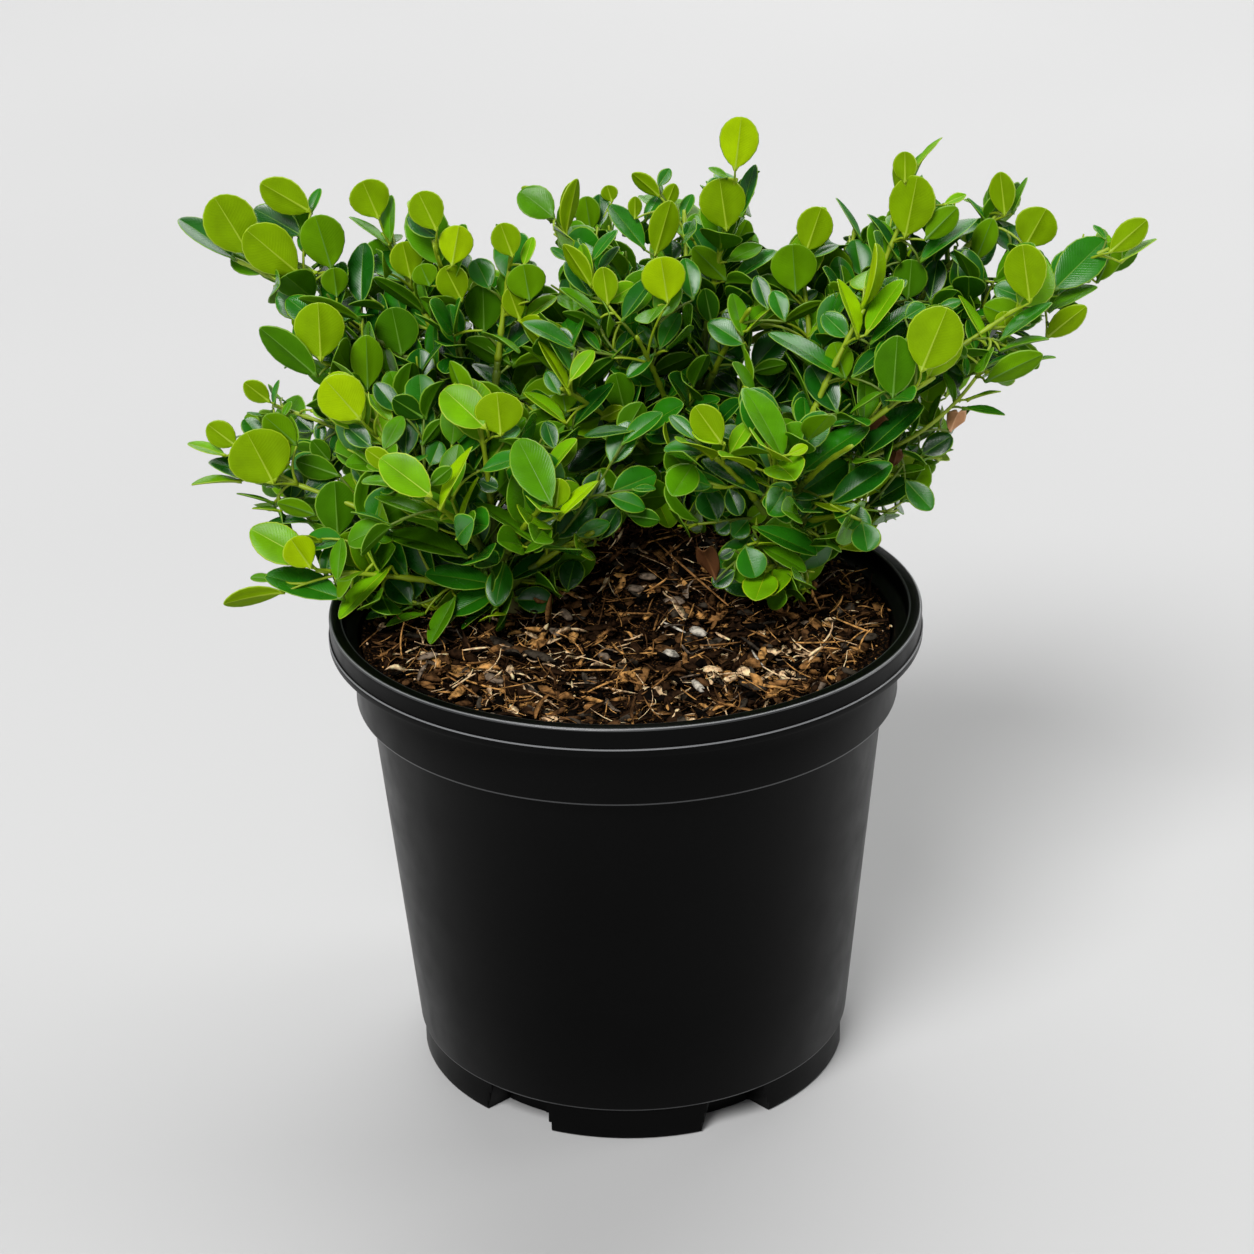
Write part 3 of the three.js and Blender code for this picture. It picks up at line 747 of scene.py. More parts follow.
# The meshes of the pieces. A chip has rings from its top to its bottom: the share of its outline, and the
# height in thicknesses. A crumb has two rings between its ends, at heights in its own size.
STRIP_STEPS = 5
# How far a strip turns aside, lifts and twists at each step
STRIP_BENDS = (0.17, 0.11, 0.25)
CHIP_CORNERS = 9
CHIP_RINGS = [(0.0, 0.9), (0.72, 0.7), (1.0, 0.0), (0.8, -0.6), (0.0, -0.7)]
CRUMB_SIDES = 6
CRUMB_RINGS = (-0.12, 0.16)
CRUMB_END = 0.3
# The shade of the shrub on the bark: from where to where it sets in, from the front back, and how deep it is
SHADE_REACH = (-60, 50)
SHADE_DEPTH = 0.6

# Pieces of bark that the photograph shows plainly: the pixels of both ends, breadth in pixels, tone
SEEN_CHIPS = [
    (490, 648, 522, 662, 15, SLATE),
    (524, 660, 553, 668, 13, SLATE),
    (666, 604, 684, 614, 13, GREY),
    (627, 594, 644, 600, 12, GREY),
    (641, 580, 655, 590, 14, GREY),
    (562, 617, 571, 629, 10, GREY),
    (664, 660, 678, 664, 12, ASH),
    (598, 662, 611, 668, 9, GREY),
    (485, 686, 506, 689, 11, GREY),
    (622, 688, 640, 681, 10, GOLD),
    (636, 696, 648, 679, 11, TAN),
    (690, 636, 704, 644, 14, ASH),
    (706, 676, 722, 684, 15, PALE),
    (738, 676, 752, 684, 12, PALE),
    (724, 690, 738, 684, 9, PALE),
    (692, 690, 704, 700, 9, ASH),
    (800, 676, 820, 668, 14, TAN),
    (858, 648, 878, 644, 12, SLATE),
    (740, 690, 764, 698, 14, SLATE),
    (765, 694, 796, 690, 10, TAN),
    (524, 694, 534, 700, 10, PALE),
    (540, 697, 556, 703, 9, TAN),
    (430, 645, 446, 650, 12, SLATE),
    (420, 682, 440, 690, 12, BROWN),
]
SEEN_FIBRES = [
    (655, 550, 725, 640, 3, TAN),
    (449, 682, 498, 708, 3, GOLD),
    (447, 685, 482, 701, 3, TAN),
    (565, 680, 624, 684, 4, GOLD),
    (588, 702, 622, 684, 5, GOLD),
    (622, 684, 640, 702, 3, TAN),
    (664, 632, 686, 642, 4, ASH),
    (610, 622, 655, 632, 3, TAN),
    (654, 640, 658, 622, 3, TAN),
    (612, 652, 622, 668, 3, GOLD),
    (716, 642, 728, 652, 5, PALE),
    (752, 660, 762, 676, 3, ASH),
    (790, 652, 852, 650, 4, GOLD),
    (820, 658, 838, 658, 3, GOLD),
    (836, 628, 868, 642, 3, GOLD),
    (750, 640, 770, 652, 3, TAN),
    (700, 655, 740, 664, 3, TAN),
    (690, 668, 706, 660, 3, GOLD),
    (640, 663, 668, 662, 4, GOLD),
    (463, 660, 490, 658, 4, PALE),
    (406, 662, 420, 656, 3, PALE),
    (742, 692, 790, 700, 6, GOLD),
]


def mix_materials():
    materials = []
    for name, colour in MIX_TONES:
        shader = Shader(f"mulch_{name}", roughness=0.85, specular=0.04)
        stops = [(0.36, shaded(colour, 0.3)), (0.5, colour), (0.66, shaded(colour, 1.5))]
        shader.colour(shader.noise(380, 5), stops)
        shader.relief(shader.noise(700, 3), distance=0.4, strength=0.7)
        materials.append(shader.material)
    return materials


def bed_material():
    """The fine dark crumb between the larger pieces, with paler specks."""
    shader = Shader("mulch_bed", roughness=0.9, specular=0.04)
    stops = [(0.5, srgb(6, 4, 3)), (0.6, srgb(46, 29, 15)), (0.72, srgb(120, 82, 42))]
    shader.colour(shader.noise(900, 5), stops)
    shader.relief(shader.noise(500, 4), distance=0.8)
    return shader.material


def make_mix_base():
    """The body of the potting mix: it fills the pot, and its top is lumpy."""
    angles = np.linspace(0, 2 * math.pi, MIX_SIDES, endpoint=False)
    wall = [
        (95, MIX_FLOOR),
        (103, MIX_FLOOR + 2),
        (BODY_TOP_RADIUS - WALL - 1, COLLAR_FOOT - 3),
        (MIX_WALL_RADIUS, COLLAR_FOOT + 5),
    ]
    top = [(radius, None) for radius in np.linspace(MIX_WALL_RADIUS, MIX_TOP_RADIUS, MIX_RINGS)]
    points = []
    for radius, height in wall + top:
        for angle in angles:
            x, y = radius * math.cos(angle), radius * math.sin(angle)
            points.append((x, y, rough_level(x, y) - BED_SINK if height is None else height))
    centre = len(points)
    points += [(0, 0, rough_level(0, 0) - BED_SINK), (0, 0, MIX_FLOOR)]
    crest = fan(centre, centre - MIX_SIDES, MIX_SIDES)
    floor = fan(centre + 1, 0, MIX_SIDES, is_flipped=True)
    batch = Batch()
    batch.add(points, grid_quads(len(wall + top), MIX_SIDES, True), 0, np.concatenate([crest, floor]), 0)
    finish_piece(batch.build("mulch_bed", [bed_material()]), ["potting_mix"])


def scatter_spot(rng, reach, lift):
    """A spot on the potting mix, evenly spread, clear of the pot's wall by the piece's reach."""
    radius = (MIX_WALL_RADIUS + 3 - reach) * math.sqrt(rng.random())
    angle = rng.uniform(0, 2 * math.pi)
    x, y = radius * math.cos(angle), radius * math.sin(angle)
    return np.array([x, y, rough_level(x, y) + lift])


def lying_frame(rng, tilt, heading=None):
    """A direction that lies nearly flat, the direction across it, and the one up from both."""
    if heading is None:
        heading = rng.uniform(0, 2 * math.pi)
    along = unit(np.array([math.cos(heading), math.sin(heading), rng.gauss(0, tilt)]))
    normal = unit(np.array([rng.gauss(0, tilt), rng.gauss(0, tilt), 1.0]))
    across = unit(np.cross(normal, along))
    return along, across, np.cross(along, across)


def turned_inward(spot, frame, length):
    """The frame of a shred of bark, turned about where its far end would reach the pot's wall."""
    along, across, normal = frame
    end = spot + along * length
    return (-along, -across, normal) if math.hypot(end[0], end[1]) > MIX_WALL_RADIUS else frame


def mulch_tone(rng, spot, weights):
    """A tone for one piece: paler towards the front wall, darker in the shade of the shrub."""
    shade = smoothstep(*SHADE_REACH, spot[1]) * SHADE_DEPTH
    factors = {PALE: 1 - shade, GOLD: 1 - shade, TAN: 1 - shade, DARK: 1 + shade, BLACK: 1 + shade}
    tones = list(weights)
    return rng.choices(tones, [weights[tone] * factors.get(tone, 1) for tone in tones])[0]


def add_chip(batch, rng, centre, frame, length, width, thickness, tone):
    """A flake of bark: an uneven outline, crowned above and flat below."""
    along, across, normal = frame
    bend = rng.uniform(-0.012, 0.03)
    outline = []
    for i in range(CHIP_CORNERS):
        turn = 2 * math.pi * i / CHIP_CORNERS
        size = 0.5 * rng.uniform(0.78, 1.1)
        outline.append((length * size * math.cos(turn), width * size * math.sin(turn)))
    points = []
    for share, lift in CHIP_RINGS:
        for a, b in outline if share else [(0.0, 0.0)]:
            height = lift * thickness - bend * (share * b) ** 2
            points.append(centre + along * a * share + across * b * share + normal * height)
    last = len(points) - 1
    fans = [fan(0, 1, CHIP_CORNERS), fan(last, last - CHIP_CORNERS, CHIP_CORNERS, is_flipped=True)]
    quads = np.roll(grid_quads(3, CHIP_CORNERS, True)[:, ::-1], 1, axis=1) + 1
    batch.add(points, quads, tone, np.concatenate(fans), tone)


def add_strip(batch, rng, start, frame, length, width, thickness, tone, point, cup=0.0, curl=1.0):
    """A shred of bark along a bent, twisted line: a lens in section, whose edges may curl up, and whose
    ends taper to a share of its breadth."""
    along, across, normal = frame
    here = start
    turning, lifting, twist = (rng.gauss(0, bend) * curl for bend in STRIP_BENDS)
    rings = []
    step = length / STRIP_STEPS
    for i in range(STRIP_STEPS + 1):
        taper = point + (1 - point) * math.sin(math.pi * (0.08 + 0.84 * i / STRIP_STEPS))
        half, deep = 0.5 * width * taper, 0.5 * thickness * taper
        edge = normal * cup * half
        rings += [here - across * half + edge, here - normal * deep]
        rings += [here + across * half + edge, here + normal * deep]
        here = here + along * step
        along = unit(along + across * turning + normal * lifting)
        normal = unit(normal + across * twist)
        across = unit(np.cross(normal, along))
        normal = np.cross(along, across)
    last = STRIP_STEPS * 4
    ends = [[0, 3, 2, 1], [last, last + 1, last + 2, last + 3]]
    batch.add(rings, np.concatenate([grid_quads(STRIP_STEPS + 1, 4, True), ends]), tone)


def add_crumb(batch, rng, centre, frame, size, tone):
    """A crumb of bark: a small lump of two uneven rings between its ends."""
    along, across, normal = frame
    points = [centre - normal * size * CRUMB_END]
    for height in CRUMB_RINGS:
        for side in range(CRUMB_SIDES):
            angle = 2 * math.pi * side / CRUMB_SIDES
            reach = 0.5 * size * rng.uniform(0.6, 1.15)
            around = along * math.cos(angle) + across * 0.7 * math.sin(angle)
            points.append(centre + around * reach + normal * size * height)
    points.append(centre + normal * size * CRUMB_END)
    last = len(points) - 1
    fans = [fan(0, 1, CRUMB_SIDES, is_flipped=True), fan(last, last - CRUMB_SIDES, CRUMB_SIDES)]
    batch.add(points, grid_quads(2, CRUMB_SIDES, True) + 1, tone, np.concatenate(fans), tone)


def mix_point(view, pixel):
    """Where the line of sight through a pixel meets the potting mix."""
    for depth in np.arange(*SIGHT_DEPTHS):
        point = view.point(pixel, depth)
        if point[2] < rough_level(point[0], point[1]):
            return point
    return None


def seen_bark(rng, view, piece):
    """The two ends of a plainly seen piece of bark on the potting mix, its frame, size and tone."""
    *pixels, width, tone = piece
    start, end = (mix_point(view, pixel) for pixel in np.array(pixels, float).reshape(2, 2))
    reach = end - start
    frame = lying_frame(rng, 0.08, math.atan2(reach[1], reach[0]))
    breadth = width * float((start - view.place) @ view.forward) / view.scale
    return start, end, frame, float(np.linalg.norm(reach)), breadth, tone


def strewn(rng, kind):
    """The spot and the tone of each piece of one kind of loose bark."""
    count, reach, lifts, tones = STREWN[kind]
    for _ in range(count):
        spot = scatter_spot(rng, reach, rng.uniform(*lifts))
        yield spot, mulch_tone(rng, spot, tones)


def make_mulch(view):
    rng = random.Random(MULCH_SEED)
    fibres, flakes, chips, crumbs = Batch(), Batch(), Batch(), Batch()
    for piece in SEEN_CHIPS:
        start, end, frame, length, width, tone = seen_bark(rng, view, piece)
        centre = 0.5 * (start + end) + UP * SEEN_CHIP_LIFT
        add_chip(chips, rng, centre, frame, 1.15 * length, 1.1 * width, SEEN_CHIP_THICKNESS, tone)
    for piece in SEEN_FIBRES:
        start, end, frame, length, width, tone = seen_bark(rng, view, piece)
        start = start + UP * SEEN_FIBRE_LIFT
        add_strip(fibres, rng, start, frame, length, width, SEEN_FIBRE_THICKNESS, tone, point=0.4, curl=0.25)
    for spot, tone in strewn(rng, "fibres"):
        length, width = rng.uniform(*FIBRE_LENGTHS), 0.35 + 0.8 * rng.random() ** 2
        frame = turned_inward(spot, lying_frame(rng, tilt=0.3), length)
        add_strip(fibres, rng, spot, frame, length, width, 0.8 * width, tone, point=0.45, curl=1.3)
    for spot, tone in strewn(rng, "flakes"):
        length, width, cup = (rng.uniform(*sizes) for sizes in (FLAKE_LENGTHS, FLAKE_WIDTHS, FLAKE_CUPS))
        frame = turned_inward(spot, lying_frame(rng, tilt=0.35), length)
        thickness = FLAKE_THICKNESS
        add_strip(flakes, rng, spot, frame, length, width, thickness, tone, point=0.04, cup=cup, curl=1.2)
    for spot, tone in strewn(rng, "chips"):
        length, width = rng.uniform(*CHIP_LENGTHS), rng.uniform(*CHIP_WIDTHS)
        frame = lying_frame(rng, tilt=0.35)
        add_chip(chips, rng, spot, frame, length, width, rng.uniform(*CHIP_THICKNESSES), tone)
    for spot, tone in strewn(rng, "crumbs"):
        frame = lying_frame(rng, tilt=0.4)
        add_crumb(crumbs, rng, spot, frame, rng.uniform(*CRUMB_SIZES), tone)
    materials = mix_materials()
    for batch, name in ((fibres, "fibres"), (flakes, "flakes"), (chips, "chips"), (crumbs, "crumbs")):
        finish_piece(batch.build(f"mulch_{name}", materials), ["potting_mix"])


# Limbs


class Curve:
    """A bent line through a root and a tip, drawn towards one bend."""

    def __init__(self, root, bend, tip):
        self.root, self.bend, self.tip = (np.array(p, float) for p in (root, bend, tip))
        line = self.points(np.linspace(0, 1, 33))
        self.length = float(np.linalg.norm(np.diff(line, axis=0), axis=1).sum())

    def point(self, t):
        return (1 - t) ** 2 * self.root + 2 * t * (1 - t) * self.bend + t * t * self.tip

    def points(self, shares):
        return np.array([self.point(t) for t in shares])

    def beyond(self, t):
        """A point on the line, or on its straight run past either end."""
        share = min(max(t, 0), 1)
        return self.point(share) + self.frame(share)[0] * self.length * (t - share)

    def frame(self, t):
        """The direction along the line, and two across it."""
        along = unit(2 * (1 - t) * (self.bend - self.root) + 2 * t * (self.tip - self.bend))
        across = unit(np.cross(np.array([0.31, -0.95, 0.0]), along))
        return along, across, np.cross(along, across)


class Random:
    """The source's own seeded generator: equal seeds give equal plants."""

    STATES = 2**32

    def __init__(self, seed):
        self.state = (seed * 7919 + 104729) % self.STATES

    def __call__(self):
        self.state = (self.state * 1664525 + 1013904223) % self.STATES
        return self.state / self.STATES


def stem_radius(t, height):
    taper = STEM_FOOT_RADIUS + (STEM_TOP_RADIUS - STEM_FOOT_RADIUS) * t
    return taper + FLARE * math.exp(-max(t, 0) * height / FLARE_RISE)


def make_stems():
    stems = {}
    for name, (x, y), fork in STEMS:
        foot = np.array([x, y, float(mix_level(x, y)) + STEM_GAP])
        top = np.array(fork, float)
        middle = foot * (1 - STEM_LEAN) + top * STEM_LEAN
        bend = (middle[0], middle[1], (foot[2] + top[2]) / 2)
        radius = partial(stem_radius, height=top[2] - foot[2])
        stems[name] = {"curve": Curve(foot, bend, top), "radius": radius}
    return stems


def make_shoots(stems):
    shoots = []
    for index, (name, stem, fork, bare, (x, y, rise)) in enumerate(SHOOTS):
        root = stems[stem]["curve"].point(fork)
        tip = np.array([x, y, POT_HEIGHT + rise])
        curve = Curve(root, root + (tip - root) * SHOOT_BEND, tip)
        shoots.append({"name": name, "index": index, "stem": stem, "bare": bare, "curve": curve})
    return shoots


def shoot_radius(t):
    return TIP_RADIUS + (SHOOT_RADIUS - TIP_RADIUS) * max(0.0, 1 - t) ** 1.6


def twig_radius(t, girth):
    return girth * TWIG_RADIUS * (1 - 0.35 * t)


def bark_relief(angle, way, seed):
    """The height of the bark's ridges at an angle round a limb and a way along it."""
    relief = 0
    for rise, rate_round, rate_along in BARK_WAVES:
        x, y = math.cos(angle) * rate_round, math.sin(angle) * rate_round
        relief += rise * noise.noise(Vector((x, y, way * rate_along + seed)))
    return relief


def add_limb(batch, curve, start, end, radius, sides, step, slot, rough=0.0, nodes=(), seed=0):
    """A limb along part of a curve, with a swelling at each node and the relief of its bark."""
    count = max(3, int(curve.length * abs(end - start) / step))
    rows = []
    for t in np.linspace(start, end, count + 1):
        _, across, over = curve.frame(min(max(t, 0), 1))
        place = curve.beyond(t)
        swell = sum(NODE_SWELL * math.exp(-(((t - n) * curve.length / NODE_SPREAD) ** 2)) for n in nodes)
        for side in range(sides):
            angle = 2 * math.pi * side / sides
            reach = radius(t) + swell
            if rough:
                reach += rough * bark_relief(angle, t * curve.length, seed)
            rows.append(place + (across * math.cos(angle) + over * math.sin(angle)) * reach)
    tip = np.mean(rows[-sides:], axis=0) + curve.frame(min(end, 1))[0] * radius(end) * 0.6
    total = len(rows)
    caps = [fan(total, 0, sides, is_flipped=True), fan(total + 1, total - sides, sides)]
    points = [*rows, curve.beyond(start), tip]
    batch.add(points, grid_quads(count + 1, sides, True), slot, np.concatenate(caps), slot)


# Space


class Space:
    """A grid of small cells that says what already stands where."""

    def __init__(self):
        self.cells = np.zeros(np.ceil((SPACE_HIGH - SPACE_LOW) / CELL).astype(int), np.int8)

    def index(self, points):
        places = np.floor((points - SPACE_LOW) / CELL).astype(int)
        return tuple(np.clip(places, 0, np.array(self.cells.shape) - 1).T)

    def hits(self, points, kind=None):
        found = self.cells[self.index(points)]
        return int(np.count_nonzero(found if kind is None else found == kind))

    def fill(self, points, kind):
        self.cells[self.index(points)] = kind

    def is_clear_of_pot(self, points):
        """Whether points stay over the mix and the rim, and outside the rim not far under it."""
        out = np.hypot(points[:, 0], points[:, 1])
        inside = mix_level(points[:, 0], points[:, 1]) + MIX_CLEARANCE
        over_rim = np.where(out > COLLAR_RADIUS - COLLAR_MARGIN, POT_HEIGHT + RIM_CLEARANCE, inside)
        low = np.where(out > RIM_RADIUS + RIM_MARGIN, POT_HEIGHT - HANG_DEPTH, over_rim)
        return bool((points[:, 2] > low).all())


# Leaves that the photograph shows plainly, by shoot and from the front one back. Each has the pixel of its
# root, the pixel of its tip, its breadth in pixels, its tone and the side that shows.
UPPER, UNDER = "upper", "under"
SEEN_LEAVES = {
    "far_left": [
        (250, 255, 214, 196, 54, LIME, UNDER), (299, 274, 246, 229, 50, LIME, UNDER),
        (311, 212, 260, 182, 36, LIME, UNDER), (332, 270, 315, 214, 46, FRESH, UNDER),
        (337, 297, 333, 267, 29, FRESH, UNDER), (235, 260, 181, 213, 32, MATURE, UPPER),
        (362, 306, 360, 240, 28, MATURE, UPPER), (302, 236, 254, 207, 32, MATURE, UPPER),
        (311, 214, 319, 187, 12, MID, UPPER),
    ],
    "upper_left": [
        (379, 219, 362, 180, 42, LIME, UNDER), (391, 242, 388, 194, 16, FRESH, UPPER),
        (411, 279, 402, 241, 34, LIME, UNDER), (388, 246, 352, 212, 14, FRESH, UPPER),
        (402, 356, 392, 307, 46, MID, UNDER), (425, 312, 376, 274, 16, MID, UNDER),
    ],
    "upper_left_front": [
        (437, 231, 418, 192, 37, LIME, UNDER), (452, 266, 459, 225, 36, YOUNG, UNDER),
        (462, 301, 444, 266, 34, LIME, UNDER), (430, 286, 420, 264, 28, FRESH, UNDER),
        (438, 238, 407, 216, 22, MATURE, UPPER),
    ],
    "left_shoulder": [
        (321, 361, 318, 302, 52, LIME, UNDER), (368, 390, 366, 334, 35, FRESH, UNDER),
        (318, 377, 261, 326, 34, MID, UNDER), (362, 320, 300, 294, 18, FRESH, UNDER),
        (322, 326, 286, 296, 30, MID, UPPER),
    ],
    "left_middle": [
        (361, 420, 325, 378, 50, YOUNG, UNDER), (383, 451, 402, 414, 22, FRESH, UPPER),
        (372, 448, 345, 425, 24, MATURE, UPPER), (372, 466, 353, 448, 8, FRESH, UPPER),
        (405, 458, 408, 413, 26, MATURE, UPPER), (430, 466, 440, 441, 24, MID, UPPER),
        (422, 445, 442, 418, 16, MID, UNDER), (424, 418, 392, 398, 26, OLD, UNDER),
        (398, 412, 375, 382, 24, MATURE, UPPER),
    ],
    "left": [
        (274, 484, 247, 431, 66, LIME, UNDER), (297, 445, 264, 415, 30, FRESH, UNDER),
        (236, 446, 208, 424, 28, LIME, UNDER), (226, 456, 188, 440, 16, LIME, UPPER),
        (242, 481, 191, 480, 14, LIME, UPPER), (280, 487, 210, 455, 30, MATURE, UPPER),
        (316, 515, 278, 500, 20, FRESH, UNDER), (338, 537, 334, 480, 43, MID, UNDER),
        (263, 417, 247, 411, 6, MID, UPPER), (275, 503, 237, 491, 8, FRESH, UPPER),
        (282, 511, 252, 506, 7, LIME, UPPER), (362, 497, 342, 484, 4, LIME, UPPER),
        (262, 440, 244, 418, 22, MID, UPPER), (290, 502, 294, 468, 26, MATURE, UPPER),
        (305, 497, 328, 478, 26, MATURE, UPPER), (312, 522, 268, 518, 14, MATURE, UPPER),
        (340, 476, 296, 460, 26, MID, UNDER),
    ],
    "low_back_left": [
        (270, 402, 244, 382, 22, LIME, UNDER), (274, 405, 277, 379, 7, MID, UPPER),
        (283, 418, 290, 400, 9, FRESH, UPPER), (330, 462, 312, 440, 20, MID, UNDER),
        (332, 458, 343, 420, 14, MATURE, UPPER), (320, 445, 320, 422, 14, MATURE, UPPER),
        (313, 432, 296, 417, 22, OLD, UPPER),
    ],
    "low_left": [
        (311, 568, 290, 538, 36, YOUNG, UNDER), (310, 562, 250, 528, 42, LIME, UPPER),
        (338, 582, 340, 537, 18, FRESH, UPPER), (345, 600, 265, 572, 38, MID, UPPER),
        (392, 566, 335, 613, 24, LIME, UPPER), (285, 592, 222, 597, 22, LIME, UNDER),
        (425, 614, 385, 622, 13, FRESH, UPPER), (456, 597, 429, 643, 20, FRESH, UPPER),
        (495, 604, 460, 627, 12, MID, UPPER), (275, 580, 250, 576, 12, FRESH, UPPER),
        (325, 577, 330, 545, 18, MID, UPPER), (412, 605, 388, 578, 30, MATURE, UPPER),
        (436, 605, 426, 580, 10, MATURE, UPPER), (415, 600, 412, 572, 26, MATURE, UPPER),
    ],
    "front_left": [
        (440, 510, 470, 444, 13, YOUNG, UPPER), (460, 525, 472, 474, 8, YOUNG, UPPER),
        (432, 497, 380, 457, 42, LIME, UPPER), (440, 520, 375, 494, 20, FRESH, UPPER),
        (468, 558, 389, 525, 34, FRESH, UPPER), (496, 585, 425, 570, 33, MID, UPPER),
        (395, 470, 366, 449, 22, LIME, UNDER), (440, 520, 396, 500, 22, LIME, UPPER),
        (390, 525, 352, 508, 8, MID, UPPER), (430, 485, 452, 467, 18, MID, UNDER),
    ],
    "left_inner": [
        (501, 436, 497, 392, 50, LIME, UNDER), (486, 429, 443, 387, 44, LIME, UPPER),
        (500, 437, 520, 428, 18, MID, UPPER), (475, 470, 485, 446, 6, MID, UPPER),
        (500, 490, 478, 480, 20, MATURE, UPPER), (555, 450, 545, 420, 20, MATURE, UPPER),
    ],
    "front": [
        (552, 506, 517, 437, 44, FRESH, UPPER), (558, 520, 594, 475, 18, YOUNG, UPPER),
        (537, 545, 478, 495, 24, FRESH, UPPER), (480, 555, 510, 503, 14, FRESH, UPPER),
        (556, 508, 560, 478, 26, LIME, UNDER), (508, 582, 560, 550, 26, MATURE, UPPER),
    ],
    "middle_left": [
        (513, 257, 500, 223, 31, LIME, UNDER), (530, 301, 523, 264, 41, FRESH, UNDER),
        (524, 266, 532, 236, 13, LIME, UPPER), (490, 290, 475, 258, 29, MID, UPPER),
        (520, 320, 508, 288, 24, LIME, UNDER), (524, 320, 556, 294, 18, LIME, UPPER),
        (484, 334, 483, 283, 40, MID, UNDER), (512, 365, 467, 337, 26, MID, UNDER),
        (520, 398, 474, 360, 22, MATURE, UPPER),
    ],
    "middle_back": [
        (554, 218, 520, 189, 36, FRESH, UPPER), (565, 237, 575, 178, 20, LIME, UNDER),
        (570, 262, 551, 246, 12, MID, UPPER),
    ],
    "back_left_top": [
        (591, 232, 585, 196, 27, FRESH, UNDER), (600, 228, 600, 192, 22, MATURE, UPPER),
        (612, 202, 607, 185, 18, LIME, UNDER),
    ],
    "back_top": [
        (655, 256, 671, 200, 30, LIME, UNDER), (660, 197, 633, 171, 18, LIME, UNDER),
        (658, 187, 670, 168, 14, MID, UPPER), (665, 208, 675, 183, 17, LIME, UNDER),
        (635, 219, 635, 196, 15, LIME, UNDER), (645, 222, 660, 193, 16, MID, UPPER),
        (645, 250, 610, 203, 26, MID, UPPER), (682, 220, 691, 192, 14, MID, UPPER),
        (672, 262, 672, 240, 22, MATURE, UPPER), (637, 280, 636, 262, 9, MID, UPPER),
    ],
    "inner_middle": [
        (668, 303, 660, 256, 46, YOUNG, UNDER), (622, 322, 654, 273, 22, MATURE, UPPER),
        (608, 305, 603, 266, 27, LIME, UNDER), (606, 303, 635, 284, 23, LIME, UPPER),
        (600, 318, 561, 285, 18, FRESH, UPPER), (592, 287, 565, 243, 20, LIME, UNDER),
        (592, 262, 614, 226, 16, MID, UPPER), (693, 300, 685, 256, 26, MID, UPPER),
        (660, 350, 678, 310, 22, MID, UPPER), (655, 354, 626, 376, 18, MID, UPPER),
        (612, 358, 642, 328, 5, FRESH, UPPER), (572, 350, 583, 317, 9, MID, UPPER),
        (618, 355, 577, 384, 18, MATURE, UNDER), (655, 348, 638, 325, 16, MID, UPPER),
        (620, 365, 627, 328, 18, MATURE, UPPER), (600, 328, 564, 308, 14, MID, UNDER),
        (600, 352, 584, 328, 12, MID, UPPER), (575, 345, 558, 328, 14, MATURE, UPPER),
        (592, 298, 567, 258, 24, MATURE, UPPER), (598, 275, 618, 245, 14, MATURE, UPPER),
    ],
    "top": [
        (735, 171, 742, 116, 41, YOUNG, UNDER), (727, 231, 719, 177, 48, LIME, UNDER),
        (742, 217, 753, 163, 18, MATURE, UPPER), (728, 178, 709, 166, 10, FRESH, UPPER),
        (727, 281, 692, 246, 26, FRESH, UNDER), (727, 262, 762, 243, 20, FRESH, UPPER),
        (735, 280, 775, 247, 20, MID, UPPER),
    ],
    "top_low": [
        (742, 336, 735, 291, 20, FRESH, UPPER), (745, 345, 708, 320, 28, MID, UPPER),
        (650, 375, 692, 352, 22, MID, UNDER), (748, 330, 772, 303, 6, LIME, UPPER),
        (745, 402, 702, 389, 10, MATURE, UPPER), (745, 368, 709, 348, 10, MID, UPPER),
        (705, 380, 725, 364, 8, MID, UPPER), (785, 322, 774, 289, 22, MID, UPPER),
        (768, 310, 756, 275, 20, MATURE, UPPER), (752, 372, 787, 362, 18, MID, UNDER),
        (752, 370, 785, 332, 34, MATURE, UPPER), (712, 325, 705, 288, 24, MATURE, UNDER),
        (740, 395, 712, 372, 20, OLD, UPPER),
    ],
    "inner_left": [
        (570, 395, 543, 338, 18, YOUNG, UPPER), (570, 382, 593, 349, 20, LIME, UPPER),
        (566, 424, 527, 386, 18, LIME, UPPER), (573, 428, 611, 379, 22, MATURE, UPPER),
        (625, 413, 615, 372, 32, MID, UNDER), (575, 350, 524, 318, 24, MID, UPPER),
        (600, 419, 624, 407, 16, LIME, UNDER), (566, 412, 562, 391, 30, FRESH, UNDER),
        (560, 395, 546, 370, 18, MID, UPPER), (645, 402, 663, 377, 18, MID, UPPER),
        (628, 455, 666, 452, 28, MID, UNDER), (615, 478, 625, 465, 12, FRESH, UNDER),
        (612, 443, 567, 468, 26, MATURE, UPPER),
    ],
    "upper_right_middle": [
        (806, 252, 822, 206, 37, LIME, UNDER), (796, 294, 792, 243, 48, FRESH, UNDER),
        (812, 258, 838, 242, 12, MID, UPPER), (783, 322, 823, 299, 16, FRESH, UNDER),
        (808, 338, 819, 322, 6, LIME, UPPER), (806, 338, 801, 316, 12, MATURE, UPPER),
        (800, 302, 818, 290, 12, MATURE, UPPER), (802, 420, 778, 413, 10, FRESH, UNDER),
        (790, 372, 770, 398, 16, MATURE, UPPER),
    ],
    "back_right": [
        (862, 241, 838, 196, 9, MID, UPPER), (862, 277, 855, 238, 30, MID, UPPER),
    ],
    "upper_right": [
        (905, 183, 905, 151, 25, LIME, UNDER), (912, 173, 939, 134, 9, LIME, UPPER),
        (905, 238, 918, 175, 48, LIME, UNDER), (925, 240, 957, 207, 28, FRESH, UNDER),
        (920, 263, 973, 211, 24, MID, UPPER), (900, 262, 871, 211, 16, MATURE, UPPER),
